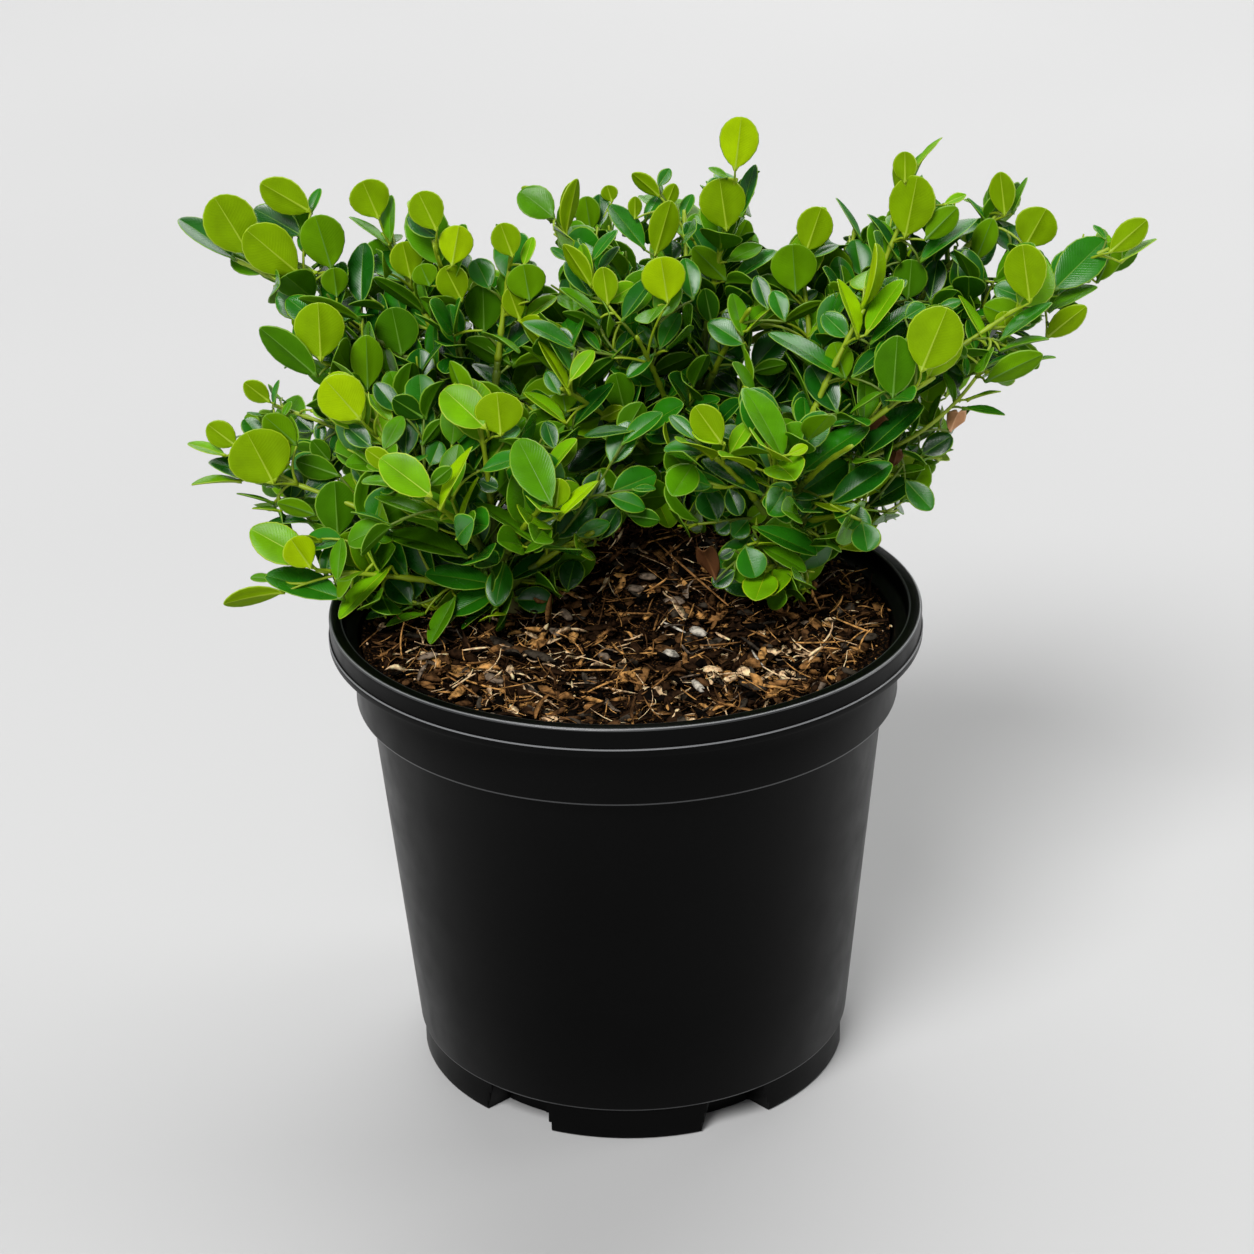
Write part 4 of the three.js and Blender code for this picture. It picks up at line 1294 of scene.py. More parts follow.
        (944, 205, 966, 193, 12, LIME, UPPER), (908, 300, 912, 259, 36, MID, UNDER),
        (897, 308, 905, 288, 16, MID, UPPER), (930, 302, 938, 258, 26, OLD, UPPER),
    ],
    "tall_right": [
        (1005, 216, 1000, 171, 27, LIME, UNDER), (1025, 247, 1046, 208, 44, LIME, UNDER),
        (1012, 214, 1025, 176, 10, FRESH, UPPER), (975, 262, 993, 218, 26, FRESH, UNDER),
        (985, 220, 968, 197, 8, MID, UPPER), (1010, 252, 1008, 224, 30, MATURE, UPPER),
    ],
    "far_right": [
        (1109, 253, 1147, 219, 28, LIME, UNDER), (1053, 291, 1106, 237, 44, MID, UPPER),
        (1120, 262, 1156, 237, 13, LIME, UPPER), (1048, 312, 1095, 281, 22, FRESH, UPPER),
        (1046, 338, 1086, 305, 26, LIME, UNDER), (1055, 330, 1076, 309, 16, MID, UPPER),
        (1097, 283, 1118, 240, 26, FRESH, UNDER), (1106, 240, 1094, 224, 8, MID, UPPER),
    ],
    "right_shoulder": [
        (1030, 303, 1022, 243, 44, LIME, UNDER), (1000, 341, 1050, 298, 20, MID, UPPER),
        (1000, 351, 1048, 333, 14, FRESH, UPPER), (985, 372, 1026, 364, 12, LIME, UPPER),
        (985, 382, 1042, 352, 28, FRESH, UNDER), (986, 346, 963, 292, 14, LIME, UPPER),
        (962, 408, 1006, 411, 14, MID, UPPER), (1038, 359, 1056, 356, 6, FRESH, UPPER),
        (966, 400, 1000, 387, 8, LIME, UPPER), (985, 366, 1028, 350, 10, MID, UPPER),
        (1006, 333, 1004, 311, 22, LIME, UNDER), (1030, 325, 984, 305, 34, FRESH, UNDER),
        (1028, 300, 994, 286, 26, MID, UPPER), (950, 432, 960, 406, 20, DEAD, UNDER),
        (922, 460, 953, 447, 10, FRESH, UPPER), (930, 430, 938, 393, 10, FRESH, UPPER),
        (900, 455, 910, 432, 8, FRESH, UPPER), (955, 402, 945, 372, 10, FRESH, UPPER),
        (916, 396, 946, 372, 14, MID, UPPER), (965, 378, 966, 356, 8, MID, UPPER),
        (893, 466, 899, 446, 16, WITHERED, UNDER), (905, 480, 932, 509, 26, MID, UPPER),
        (893, 474, 925, 466, 13, FRESH, UPPER), (922, 455, 952, 435, 26, OLD, UPPER),
        (866, 508, 912, 478, 28, OLD, UPPER), (975, 352, 970, 318, 14, MID, UPPER),
        (935, 310, 962, 300, 14, MID, UPPER),
    ],
    "right_inner": [
        (858, 338, 840, 277, 20, YOUNG, UPPER), (866, 335, 900, 276, 24, LIME, UPPER),
        (870, 345, 917, 296, 20, MID, UPPER), (843, 378, 772, 324, 28, MID, UPPER),
        (838, 414, 810, 362, 36, MATURE, UPPER), (868, 446, 876, 408, 17, WITHERED, UNDER),
        (846, 380, 834, 342, 30, FRESH, UNDER), (848, 338, 823, 313, 26, MID, UPPER),
    ],
    "right_middle": [
        (921, 372, 947, 307, 58, LIME, UNDER), (893, 398, 897, 335, 44, MID, UNDER),
        (862, 458, 920, 398, 34, MATURE, UPPER), (892, 388, 848, 410, 12, FRESH, UPPER),
        (852, 378, 885, 345, 20, MATURE, UPPER), (905, 318, 925, 305, 20, MID, UPPER),
    ],
    "right_front": [
        (800, 475, 866, 418, 34, MID, UPPER), (790, 500, 849, 461, 38, MID, UPPER),
        (830, 505, 891, 461, 36, MATURE, UPPER),
    ],
    "front_right": [
        (783, 460, 750, 381, 38, FRESH, UPPER), (788, 455, 808, 446, 13, YOUNG, UPPER),
        (762, 495, 702, 457, 28, MATURE, UPPER),
    ],
    "front_middle": [
        (725, 444, 692, 430, 18, YOUNG, UPPER), (722, 444, 695, 406, 34, LIME, UNDER),
        (730, 456, 750, 415, 20, LIME, UPPER), (772, 488, 733, 466, 12, LIME, UPPER),
        (695, 440, 670, 414, 18, MID, UPPER), (768, 508, 748, 520, 20, FRESH, UNDER),
        (748, 520, 733, 537, 24, MID, UPPER), (718, 522, 704, 490, 32, MATURE, UPPER),
        (730, 522, 717, 532, 20, MATURE, UPPER), (728, 488, 740, 515, 22, OLD, UPPER),
    ],
    "low_right": [
        (803, 530, 836, 510, 16, MID, UPPER), (862, 522, 868, 551, 32, MID, UPPER),
    ],
    "foot_right": [
        (752, 527, 818, 551, 28, MID, UPPER), (745, 546, 756, 577, 34, MID, UPPER),
        (760, 547, 808, 568, 22, FRESH, UPPER), (716, 580, 702, 540, 22, WITHERED, UNDER),
        (735, 550, 720, 558, 14, OLD, UPPER), (735, 570, 713, 585, 22, OLD, UPPER),
    ],
    "low_front": [
        (622, 445, 661, 410, 24, MID, UPPER), (635, 431, 583, 431, 18, MATURE, UPPER),
        (608, 496, 646, 508, 22, MID, UPPER), (632, 490, 656, 487, 11, MID, UPPER),
        (575, 536, 610, 522, 20, MID, UPPER), (555, 540, 595, 499, 34, MATURE, UPPER),
        (628, 515, 660, 520, 20, MATURE, UNDER), (600, 470, 590, 498, 26, MATURE, UPPER),
        (600, 540, 618, 508, 24, OLD, UPPER), (567, 592, 575, 558, 28, OLD, UPPER),
        (507, 605, 538, 590, 20, MID, UPPER), (515, 600, 553, 600, 30, MATURE, UPPER),
    ],
}

# Twigs that the photograph shows plainly, by shoot: where one leaves the shoot, and the pixels of its bend
# and its tip
SEEN_TWIGS = {
    "right_shoulder": [(0.15, (930, 455), (986, 362))],
}
SEEN_GIRTH = 1.7

# Round places where the photograph shows leaves between the shoots, and where it shows none but sky or
# mulch: pixel and radius
DENSE_VIEWS = [
    (590, 458, 44),
    (640, 470, 40),
    (735, 430, 30),
    (820, 500, 28),
    (560, 330, 40),
    (470, 330, 40),
    (768, 330, 34),
    (765, 380, 28),
    (315, 455, 26),
    (727, 417, 20),
    (657, 474, 20),
    (739, 464, 20),
    (531, 424, 20),
    (600, 465, 26),
    (735, 470, 24),
    (905, 410, 40),
    (920, 450, 26),
    (880, 500, 24),
    (985, 350, 28),
    (290, 490, 26),
    (328, 543, 22),
    (380, 590, 30),
]
OPEN_VIEWS = [
    (480, 222, 18),
    (640, 612, 52),
    (690, 592, 42),
    (662, 550, 26),
    (846, 215, 12),
    (780, 215, 14),
    (345, 208, 9),
    (252, 296, 22),
]
# The picture's cells, and the crown's outline in it: between which shares of the shoots, how far from them,
# and how much closer at their tips
PICTURE_CELL = 4.0
CROWN_SHARES = (0.08, 0.97)
CROWN_REACH = 40.0
TIP_NARROWING = 0.75
# Which share of a leaf may stand in front of plainly seen leaves, and which one outside the outline
HIDING_LIMIT = 0.1
OUTSIDE_LIMIT = 0.12
# How deep the leaves seen on one shoot lie against its line, from the first to the last, how far each may
# be shifted from there to find room, how much it may touch others at once and at most, and how much a grown
# leaf may touch it
SEEN_FRONT = -10.0
SEEN_STEP = 1.7
SEEN_BACK = 12.0
SEEN_SHIFTS = (0, 2, -2, 4, -4, 7, -7, -11, -16, -22, -30)
SEEN_ROOM = 8
SEEN_LIMIT = 46
SEEN_TOUCH = 2
# How far its face leans up, by the side that shows
LEANS = {UPPER: 0.35, UNDER: -0.12}
# The least breadth of a seen leaf in lengths: a slimmer one is turned on edge, up to an angle. From a further
# breadth on it ends round.
SLIM_RATIO = 0.52
EDGE_TURN = 1.25
ROUND_RATIO = 0.7
# A leaf closer than this to the wood of its shoot stands on it, and needs no twig
WOOD_GAP = 1.0
# How many nodes behind its shoot's tip a twig counts as standing: young and pale, or older and darker
YOUNG_WOOD = 2
OLD_WOOD = 5


# Leaves

# Shares of a leaf's length at which its mesh has a row of points
LEAF_ROWS = np.array([0.0, 0.08, 0.13, 0.24, 0.40, 0.56, 0.71, 0.84, 0.935, 0.983])
# Points across a leaf: edge, inside the margin, midway, beside the rib, the rib, and back to the other edge
ACROSS_SHARES = np.array([0, 0.06, 0.27, 0.47, 0.5, 0.53, 0.73, 0.94, 1.0])
COLUMNS = len(ACROSS_SHARES)
RIB_COLUMN = COLUMNS // 2
# Samples of a blade, along it and across it
SAMPLE_ROWS = 13
SAMPLE_COLUMNS = 10
SAMPLE_SHARES = (0.12, 0.97)
SAMPLE_REACH = 0.92
# Samples beside a leaf's root lie in the wood that carries it
ROOT_SAMPLES = 2 * SAMPLE_COLUMNS
# What the shape of a blade is drawn from, in this order: the least value of each measure, and its range
GROWN_BLADE = {
    "fullness": (0.95, 0.25),
    "bend": (0.04, 0.4),
    "fold": (0.05, 0.2),
    "cup": (0.03, 0.1),
    "wave": (0.0, 0.4),
    "phase": (0.0, 6.3),
}
UPPER_BLADE = {
    "fullness": (1.0, 0.15),
    "bend": (0.08, 0.2),
    "fold": (0.06, 0.2),
    "cup": (0.03, 0.06),
    "wave": (0.0, 0.3),
    "phase": (0.0, 6.3),
}
SEEN_BLADES = {UPPER: UPPER_BLADE, UNDER: UPPER_BLADE | {"fold": (0.0, 0.08)}}
DEAD_BLADE = {"bend": 1.1, "cup": 0.55, "wave": 2.0}
# Up to which age leaves have each tone; beyond the last they are old
TONE_AGES = [(0.2, YOUNG), (1.0, LIME), (2.0, FRESH), (3.3, MID), (4.9, MATURE)]


def blade_shape(draw, ranges):
    return {measure: least + span * draw() for measure, (least, span) in ranges.items()}


def pick_tone(depth, draw):
    """Younger tones near the tips and older ones further in."""
    age = depth * 0.62 + (draw() - 0.5) * 1.8
    for limit, tone in TONE_AGES:
        if age < limit:
            return tone
    return OLD


def half_width(u, leaf):
    """Half of a leaf's breadth along its length: a narrow stalk and then the blade."""
    blade = np.clip((u - PETIOLE_SHARE) / (1 - PETIOLE_SHARE), 0, 1)
    swell = np.power(blade, leaf["fullness"])
    power = BASE_POWER + (leaf["point"] - BASE_POWER) * blade
    arch = np.power(np.clip(np.sin(math.pi * swell), 0, 1), power)
    stalk = PETIOLE_HALF * (1 - smoothstep(0.0, 1.0, blade * 2))
    return np.maximum(stalk, 0.5 * leaf["width"] * arch)


def bent(leaf, along_share, side):
    """Points on a leaf's middle surface, from their share of its length and their distance across it."""
    length = leaf["length"]
    bend = leaf["bend"]
    angle = bend * along_share
    out = length * np.sin(angle) / bend
    rise = -length * (1 - np.cos(angle)) / bend
    half = np.maximum(half_width(along_share, leaf), 1.0)
    lift = leaf["fold"] * np.abs(side) + leaf["cup"] * np.square(side) / half
    ripple = np.sin(along_share * RIPPLES + leaf["phase"] + np.sign(side))
    lift += leaf["wave"] * ripple * np.square(side / half)
    out = out + np.sin(angle) * lift
    rise = rise + np.cos(angle) * lift
    sideways = np.cross(leaf["face"], leaf["direction"])
    return (
        leaf["root"]
        + out[..., None] * leaf["direction"]
        + side[..., None] * sideways * (1 - 0.15 * leaf["fold"])
        + rise[..., None] * leaf["face"]
    )


def leaf_samples(leaf):
    """Points spread over a leaf's blade, for testing where it reaches."""
    shares = np.linspace(*SAMPLE_SHARES, SAMPLE_ROWS)
    u, v = np.meshgrid(shares, np.linspace(-SAMPLE_REACH, SAMPLE_REACH, SAMPLE_COLUMNS), indexing="ij")
    return bent(leaf, u, v * half_width(u, leaf)).reshape(-1, 3)


def across_places(half, rib_half):
    """Where the columns of a leaf's mesh lie across it, row by row."""
    rib = np.minimum(rib_half * (1.15 - LEAF_ROWS), 0.5 * half)
    inner = half - np.minimum(MARGIN_WIDTH, 0.25 * half)
    middle = 0.5 * (rib + inner)
    return np.stack([-half, -inner, -middle, -rib, 0 * rib, rib, middle, inner, half], -1)


def leaf_points(leaf):
    """The points of a leaf's mesh: rows on its upper side, the same below, and its tip."""
    u = np.repeat(LEAF_ROWS[:, None], COLUMNS, axis=1)
    half = half_width(LEAF_ROWS, leaf)
    over = bent(leaf, u, across_places(half, RIB_HALF_OVER))
    below = bent(leaf, u, across_places(half, RIB_HALF_BELOW))
    stalk = 1 - smoothstep(PETIOLE_SHARE * 0.9, PETIOLE_SHARE * 2.2, LEAF_ROWS)[:, None]
    thick = 0.5 * BLADE_THICKNESS * (1 + 1.6 * stalk) * np.ones((1, COLUMNS))
    thick[:, [0, -1]] = 0
    keel = np.zeros((len(LEAF_ROWS), COLUMNS))
    keel[:, RIB_COLUMN] = KEEL_DEPTH * (1.1 - LEAF_ROWS)
    angle = (leaf["bend"] * LEAF_ROWS)[:, None, None]
    normal = np.cos(angle) * leaf["face"] + np.sin(angle) * leaf["direction"]
    upper = over + (thick - GROOVE_SHARE * keel)[..., None] * normal
    lower = below - (thick + keel)[..., None] * normal
    tip = bent(leaf, np.array([1.0]), np.array([0.0]))
    return np.concatenate([upper.reshape(-1, 3), lower[:, 1:-1].reshape(-1, 3), tip])


def leaf_faces():
    """The faces of a leaf's mesh, with the kind of each: upper side, underside, rib, margin."""
    count = len(LEAF_ROWS)
    upper = np.arange(count * COLUMNS).reshape(count, COLUMNS)
    lower = upper.copy()
    lower[:, 1:-1] = count * COLUMNS + np.arange(count * (COLUMNS - 2)).reshape(count, COLUMNS - 2)
    tip = count * COLUMNS + count * (COLUMNS - 2)
    quads, quad_kinds, triangles, triangle_kinds = [], [], [], []
    for column in range(COLUMNS - 1):
        is_margin = column in (0, COLUMNS - 2)
        is_rib = column in (RIB_COLUMN - 1, RIB_COLUMN)
        for row in range(count - 1):
            for grid, blade in ((upper, "upper"), (lower, "under")):
                a, b = grid[row, column], grid[row, column + 1]
                c, d = grid[row + 1, column + 1], grid[row + 1, column]
                quads.append((a, d, c, b) if grid is upper else (a, b, c, d))
                quad_kinds.append("rib" if is_rib or row == 0 else "margin" if is_margin else blade)
        triangles.append((upper[-1, column], tip, upper[-1, column + 1]))
        triangles.append((lower[-1, column], lower[-1, column + 1], tip))
        triangle_kinds += ["margin", "margin"]
    root = [upper[0, i] for i in range(COLUMNS)] + [lower[0, i] for i in range(COLUMNS - 2, 0, -1)]
    for i in range(1, len(root) - 1):
        triangles.append((root[0], root[i], root[i + 1]))
        triangle_kinds.append("rib")
    return np.array(quads), quad_kinds, np.array(triangles), triangle_kinds


LEAF_QUADS, QUAD_KINDS, LEAF_TRIANGLES, TRIANGLE_KINDS = leaf_faces()


def leaf_slots(kinds, tone):
    """The material number of each face of a leaf of one tone."""
    is_old = tone >= FRESH
    table = {
        "upper": 2 * tone,
        "under": 2 * tone + 1,
        "rib": RIB_OLD if is_old else RIB_YOUNG,
        "margin": MARGIN_OLD if is_old else MARGIN_YOUNG,
    }
    if tone >= DEAD:
        table["rib"] = table["margin"] = 2 * tone
    return np.array([table[kind] for kind in kinds])


SLOTS_BY_TONE = [(leaf_slots(QUAD_KINDS, t), leaf_slots(TRIANGLE_KINDS, t)) for t in range(len(LEAF_TONES))]


def leaf_uv():
    """A leaf's own coordinates: its length from 0 to 1, and across it from 0 to 1 with 0.5 on the midrib."""
    grid = np.stack(np.meshgrid(LEAF_ROWS, ACROSS_SHARES, indexing="ij"), -1)
    return np.concatenate([grid.reshape(-1, 2), grid[:, 1:-1].reshape(-1, 2), [[1.0, 0.5]]])


LEAF_UV = leaf_uv()


# The picture in cells


class Picture:
    """The photograph's frame in cells: where leaves may show, and how deep its plain leaves lie."""

    def __init__(self, view, shoots):
        count = math.ceil(PICTURE_SIZE / PICTURE_CELL)
        self.view = view
        self.seen_depth = np.zeros((count, count))
        self.is_covered = np.zeros((count, count), bool)
        middles = (np.arange(count) + 0.5) * PICTURE_CELL
        self.centres = np.stack(np.meshgrid(middles, middles), -1)
        self.is_crown = np.zeros((count, count), bool)
        shares = np.linspace(*CROWN_SHARES, 20)
        reach = CROWN_REACH * (1 - TIP_NARROWING * smoothstep(0.5, 1, shares))
        for shoot in shoots:
            pixels, _ = view.project(shoot["curve"].points(shares))
            away = np.linalg.norm(self.centres[:, :, None] - pixels, axis=-1)
            self.is_crown |= (away / reach).min(axis=-1) < 1
        for places, is_leafy in ((DENSE_VIEWS, True), (OPEN_VIEWS, False)):
            for *middle, radius in places:
                self.is_crown[np.linalg.norm(self.centres - np.array(middle), axis=-1) < radius] = is_leafy

    def cells(self, points):
        pixels, depth = self.view.project(points)
        places = np.clip((pixels / PICTURE_CELL).astype(int), 0, len(self.seen_depth) - 1)
        return (places[:, 1], places[:, 0]), depth

    def claim(self, samples):
        """Marks the cells of a plainly seen leaf with its depth."""
        cells, depth = self.cells(samples)
        seen = self.seen_depth[cells]
        self.seen_depth[cells] = np.where(seen > 0, np.minimum(seen, depth), depth)
        self.is_covered[cells] = True
        self.is_crown[cells] = True

    def allows(self, samples):
        """Whether a leaf stays in the crown's outline and doesn't stand in front of a plainly seen leaf."""
        cells, depth = self.cells(samples)
        seen = self.seen_depth[cells]
        hiding = np.count_nonzero((seen > 0) & (depth < seen + 1)) / len(samples)
        outside = np.count_nonzero(~self.is_crown[cells]) / len(samples)
        return hiding < HIDING_LIMIT and outside < OUTSIDE_LIMIT

    def cover(self, samples):
        self.is_covered[self.cells(samples)[0]] = True


def new_twig(shoot, curve, girth=1.0, turn=0.0, node=YOUNG_WOOD):
    return {"shoot": shoot, "curve": curve, "girth": girth, "turn": turn, "node": node}


def side_line(curve, share, turn, length):
    """The line of a side twig from a node: outward first, and then more upward."""
    along, across, over = curve.frame(share)
    radial = across * math.cos(turn) + over * math.sin(turn)
    root = curve.point(share)
    heading = unit(along * 0.7 + radial * 0.8)
    bend = root + heading * length * 0.5
    return Curve(root, bend, bend + unit(heading + UP * 0.5) * length * 0.5)


def grown_leaf(shoot, curve, share, turn, spread, size, ratio, tone, point):
    """A leaf at a node, with a turn round its twig and a spread away from it."""
    draw = shoot["draw"]
    along, across, over = curve.frame(share)
    radial = across * math.cos(turn) + over * math.sin(turn)
    tilt = spread + (draw() - 0.5) * 0.35
    direction = unit(along * math.cos(tilt) + radial * math.sin(tilt) + UP * LEAF_LIFT)
    face = along * math.sin(tilt) - radial * math.cos(tilt) + UP * FACE_LIFT
    face = unit(face - direction * float(face @ direction))
    roll = (draw() - 0.5) * 0.7
    length = LEAF_LENGTH * size * (0.88 + 0.24 * draw())
    return {
        "root": curve.point(share) + radial * TWIG_RADIUS,
        "direction": direction,
        "face": unit(face * math.cos(roll) + np.cross(direction, face) * math.sin(roll)),
        "length": length,
        "width": length * ratio * (0.9 + 0.2 * draw()),
        "point": point,
        "tone": tone,
        "shoot": shoot,
        **blade_shape(draw, GROWN_BLADE),
    }


class Crown:
    """The shoots, side twigs and leaves, grown by one seeded rule."""

    def __init__(self, stems, shoots, view):
        self.stems = stems
        self.shoots = shoots
        self.view = view
        self.space = Space()
        self.picture = Picture(view, shoots)
        self.leaves = []
        self.side_twigs = []
        self.leaf_room = LEAF_ROOM

    def grow(self):
        for stem in self.stems.values():
            self.mark_limb(stem["curve"], 0, 1)
        for shoot in self.shoots:
            self.mark_limb(shoot["curve"], 0, 1)
            shoot["draw"] = Random(shoot["index"] + 1)
        for step in (self.add_seen_leaves, self.lay_out, self.add_end_leaves, self.add_main_leaves):
            for shoot in self.shoots:
                step(shoot)
        for twig in self.side_twigs:
            self.add_twig_leaves(twig)
        self.fill_crown()
        self.fill_picture()

    def mark_limb(self, curve, start, end):
        shares = np.linspace(start, end, max(4, int(curve.length / MARK_STEP)))
        self.space.fill(curve.points(shares), WOOD)

    def wood_samples(self):
        """Places on the shoots and twigs from which a further twig may grow, with the shoot of each."""
        samples = []
        least, most, step = SHOOT_STARTS
        for shoot in self.shoots:
            shares = np.arange(BARE_SHARE * shoot["bare"] + least, most, step / shoot["curve"].length)
            samples += [(shoot["curve"], share, shoot) for share in shares]
        least, most, step = TWIG_STARTS
        for twig in self.side_twigs:
            shares = np.arange(least, most, step / twig["curve"].length)
            samples += [(twig["curve"], share, twig["shoot"]) for share in shares]
        return samples

    def fill_crown(self):
        """Further twigs wherever the crown round the wood is still thin."""
        draw = Random(FILL_SEED)
        samples = self.wood_samples()
        for _ in range(FILL_TRIES):
            curve, share, shoot = samples[int(draw() * len(samples))]
            along, across, over = curve.frame(share)
            turn = draw() * 2 * math.pi
            radial = across * math.cos(turn) + over * math.sin(turn)
            reach = FILL_REACH[0] + (FILL_REACH[1] - FILL_REACH[0]) * draw()
            target = curve.point(share) + unit(along * 0.4 + radial + UP * 0.25) * reach
            if self.space.hits(target + AROUND_TARGET) <= FILL_ROOM:
                self.grow_twig_to(curve, share, shoot, target, turn)

    def fill_picture(self):
        """Twigs towards the places where the crown would still let the background through."""
        draw = Random(FILL_SEED + 1)
        for number in range(PICTURE_ROUNDS):
            if number == DEEP_ROUND:
                self.leaf_room = DEEP_LEAF_ROOM
            samples = self.wood_samples()
            pixels, depths = self.view.project(np.array([curve.point(t) for curve, t, _ in samples]))
            for hole in self.picture.centres[self.picture.is_crown & ~self.picture.is_covered]:
                if draw() > HOLE_SHARE:
                    continue
                near = np.argsort(np.linalg.norm(pixels - hole, axis=1))[:HOLE_CHOICES]
                for _ in range(HOLE_TRIES):
                    pick = near[int(draw() * len(near))]
                    curve, share, shoot = samples[pick]
                    target = self.view.point(hole, depths[pick] + (draw() - 0.5) * HOLE_DEPTH)
                    if np.linalg.norm(target - curve.point(share)) > HOLE_REACH:
                        continue
                    if self.grow_twig_to(curve, share, shoot, target, draw() * math.pi):
                        break

    def grow_twig_to(self, curve, share, shoot, target, turn):
        """A twig with its leaves from a place on the wood to a free place, where the way is clear."""
        root = curve.point(share)
        reach = float(np.linalg.norm(target - root))
        heading = unit(curve.frame(share)[0] * 0.6 + unit(target - root))
        line = Curve(root, root + heading * reach * 0.5, target)
        points = line.points(np.linspace(0.3, 1, 8))
        if not self.space.is_clear_of_pot(points) or self.space.hits(points) > 1:
            return False
        if not self.picture.allows(points):
            return False
        twig = new_twig(shoot, line, turn=turn, node=int((1 - share) * curve.length / NODE_GAP) + 2)
        before = len(self.leaves)
        self.add_twig_leaves(twig)
        if len(self.leaves) == before:
            return False
        self.mark_limb(line, 0.15, 1)
        self.side_twigs.append(twig)
        return True

    def depth_beside(self, curve, pixel):
        """How deep a shoot lies where it passes nearest to a place in the picture."""
        pixels, depth = self.view.project(curve.points(np.linspace(0.1, 1, 41)))
        return depth[np.argmin(np.linalg.norm(pixels - pixel, axis=1))]

    def seen_leaf(self, shoot, root_pixel, tip_pixel, width, tone, side, depth):
        """A leaf that covers the measured place in the picture, at a depth."""
        draw = shoot["draw"]
        root = self.view.point(root_pixel, depth)
        span = self.view.span(tip_pixel - root_pixel, depth)
        sight = unit(root - self.view.place)
        normal = unit(UP * LEANS[side] - sight + self.view.right * (draw() - 0.5) * 0.3)
        direction = span - sight * float(span @ normal) / float(sight @ normal)
        length = float(np.linalg.norm(direction))
        direction = direction / length
        breadth = width * depth / self.view.scale
        width = max(breadth, SLIM_RATIO * length)
        turn = min(EDGE_TURN, math.acos(min(1.0, breadth / width)))
        sideways = np.cross(direction, normal)
        faces = [normal * math.cos(a) + sideways * math.sin(a) for a in (turn, -turn)]
        if side == UNDER:
            faces = [-face for face in faces]
        leaf = {
            "root": root,
            "direction": direction,
            "face": max(faces, key=lambda face: face[2]),
            "length": length,
            "width": width,
            "point": ROUND_POINT if width > ROUND_RATIO * length else SLIM_POINT,
            "tone": tone,
            "shoot": shoot,
            **blade_shape(draw, SEEN_BLADES[side]),
        }
        return leaf | DEAD_BLADE if tone >= DEAD else leaf

    def find_seen_leaf(self, shoot, number, pixels, width, tone, side):
        """The leaf for a measured place, near its shoot's depth and where it touches least, with its hits and
        its samples."""
        root_pixel, tip_pixel = np.array(pixels, float).reshape(2, 2)
        layer = min(SEEN_FRONT + SEEN_STEP * number, SEEN_BACK)
        depth = self.depth_beside(shoot["curve"], root_pixel) + layer
        best = (math.inf, None, None)
        for shift in SEEN_SHIFTS:
            leaf = self.seen_leaf(shoot, root_pixel, tip_pixel, width, tone, side, depth + shift)
            samples = leaf_samples(leaf)
            hits = self.space.hits(samples[ROOT_SAMPLES:])
            if self.space.is_clear_of_pot(samples) and hits < best[0]:
                best = (hits, leaf, samples)
            if best[0] <= SEEN_ROOM:
                break
        return best

    def add_seen_leaves(self, shoot):
        """The leaves that the photograph shows plainly, each on its shoot or on a twig that grows to it."""
        carriers = [(shoot["curve"], 0.6 * shoot["bare"] + 0.1)]
        for share, *pixels in SEEN_TWIGS.get(shoot["name"], ()):
            places = [self.view.point(pixel, self.depth_beside(shoot["curve"], pixel)) for pixel in pixels]
            line = Curve(shoot["curve"].point(share), *places)
            self.mark_limb(line, 0.1, 1)
            carriers.append((line, 0.2))
            self.side_twigs.append(new_twig(shoot, line, SEEN_GIRTH))
        for number, (*pixels, width, tone, side) in enumerate(SEEN_LEAVES.get(shoot["name"], ())):
            hits, leaf, samples = self.find_seen_leaf(shoot, number, pixels, width, tone, side)
            if hits > SEEN_LIMIT:
                continue
            self.space.fill(samples, SEEN_LEAF)
            self.picture.claim(samples)
            self.leaves.append(leaf)
            self.join_leaf(shoot, carriers, leaf)

    def join_leaf(self, shoot, carriers, leaf):
        """A twig to a seen leaf's root from the nearest wood of its shoot, where it doesn't stand on it."""
        root, best = leaf["root"], None
        for curve, lowest in carriers:
            shares = np.linspace(lowest, 1, 41)
            gaps = np.linalg.norm(curve.points(shares) - root, axis=1)
            i = int(np.argmin(gaps))
            if best is None or gaps[i] < best[2]:
                best = (curve, shares[i], gaps[i])
        curve, share, gap = best
        if gap < WOOD_GAP:
            return
        start = max(0.05, share - 0.9 * gap / curve.length)
        base = curve.point(start)
        reach = float(np.linalg.norm(root - base))
        heading = unit(curve.frame(start)[0] * 0.8 + unit(root - base))
        line = Curve(base, base + heading * reach * 0.5, root)
        self.mark_limb(line, 0.15, 0.9)
        carriers.append((line, 0.3))
        node = YOUNG_WOOD if leaf["tone"] < MID else OLD_WOOD
        self.side_twigs.append(new_twig(shoot, line, node=node))

    def lay_out(self, shoot):
        """The nodes of a shoot, counted down from its tip, and the side twigs in their axils."""
        shoot["first_turn"] = math.pi / 2 + (shoot["draw"]() - 0.5) * 1.0
        shoot["nodes"] = []
        length = shoot["curve"].length
        start = BARE_SHARE * shoot["bare"]
        for node in range(max(3, int(length * (1 - start) / NODE_GAP))):
            share = 1 - (node + 0.15) * NODE_GAP / length - 0.02
            if share < start + 0.02:
                break
            shoot["nodes"].append((share, shoot["first_turn"] + (node + 1) * math.pi / 2))
        for node, (share, turn) in enumerate(shoot["nodes"][1:], 1):
            for side in (0, math.pi):
                self.try_twig(shoot, share, turn + side, node)

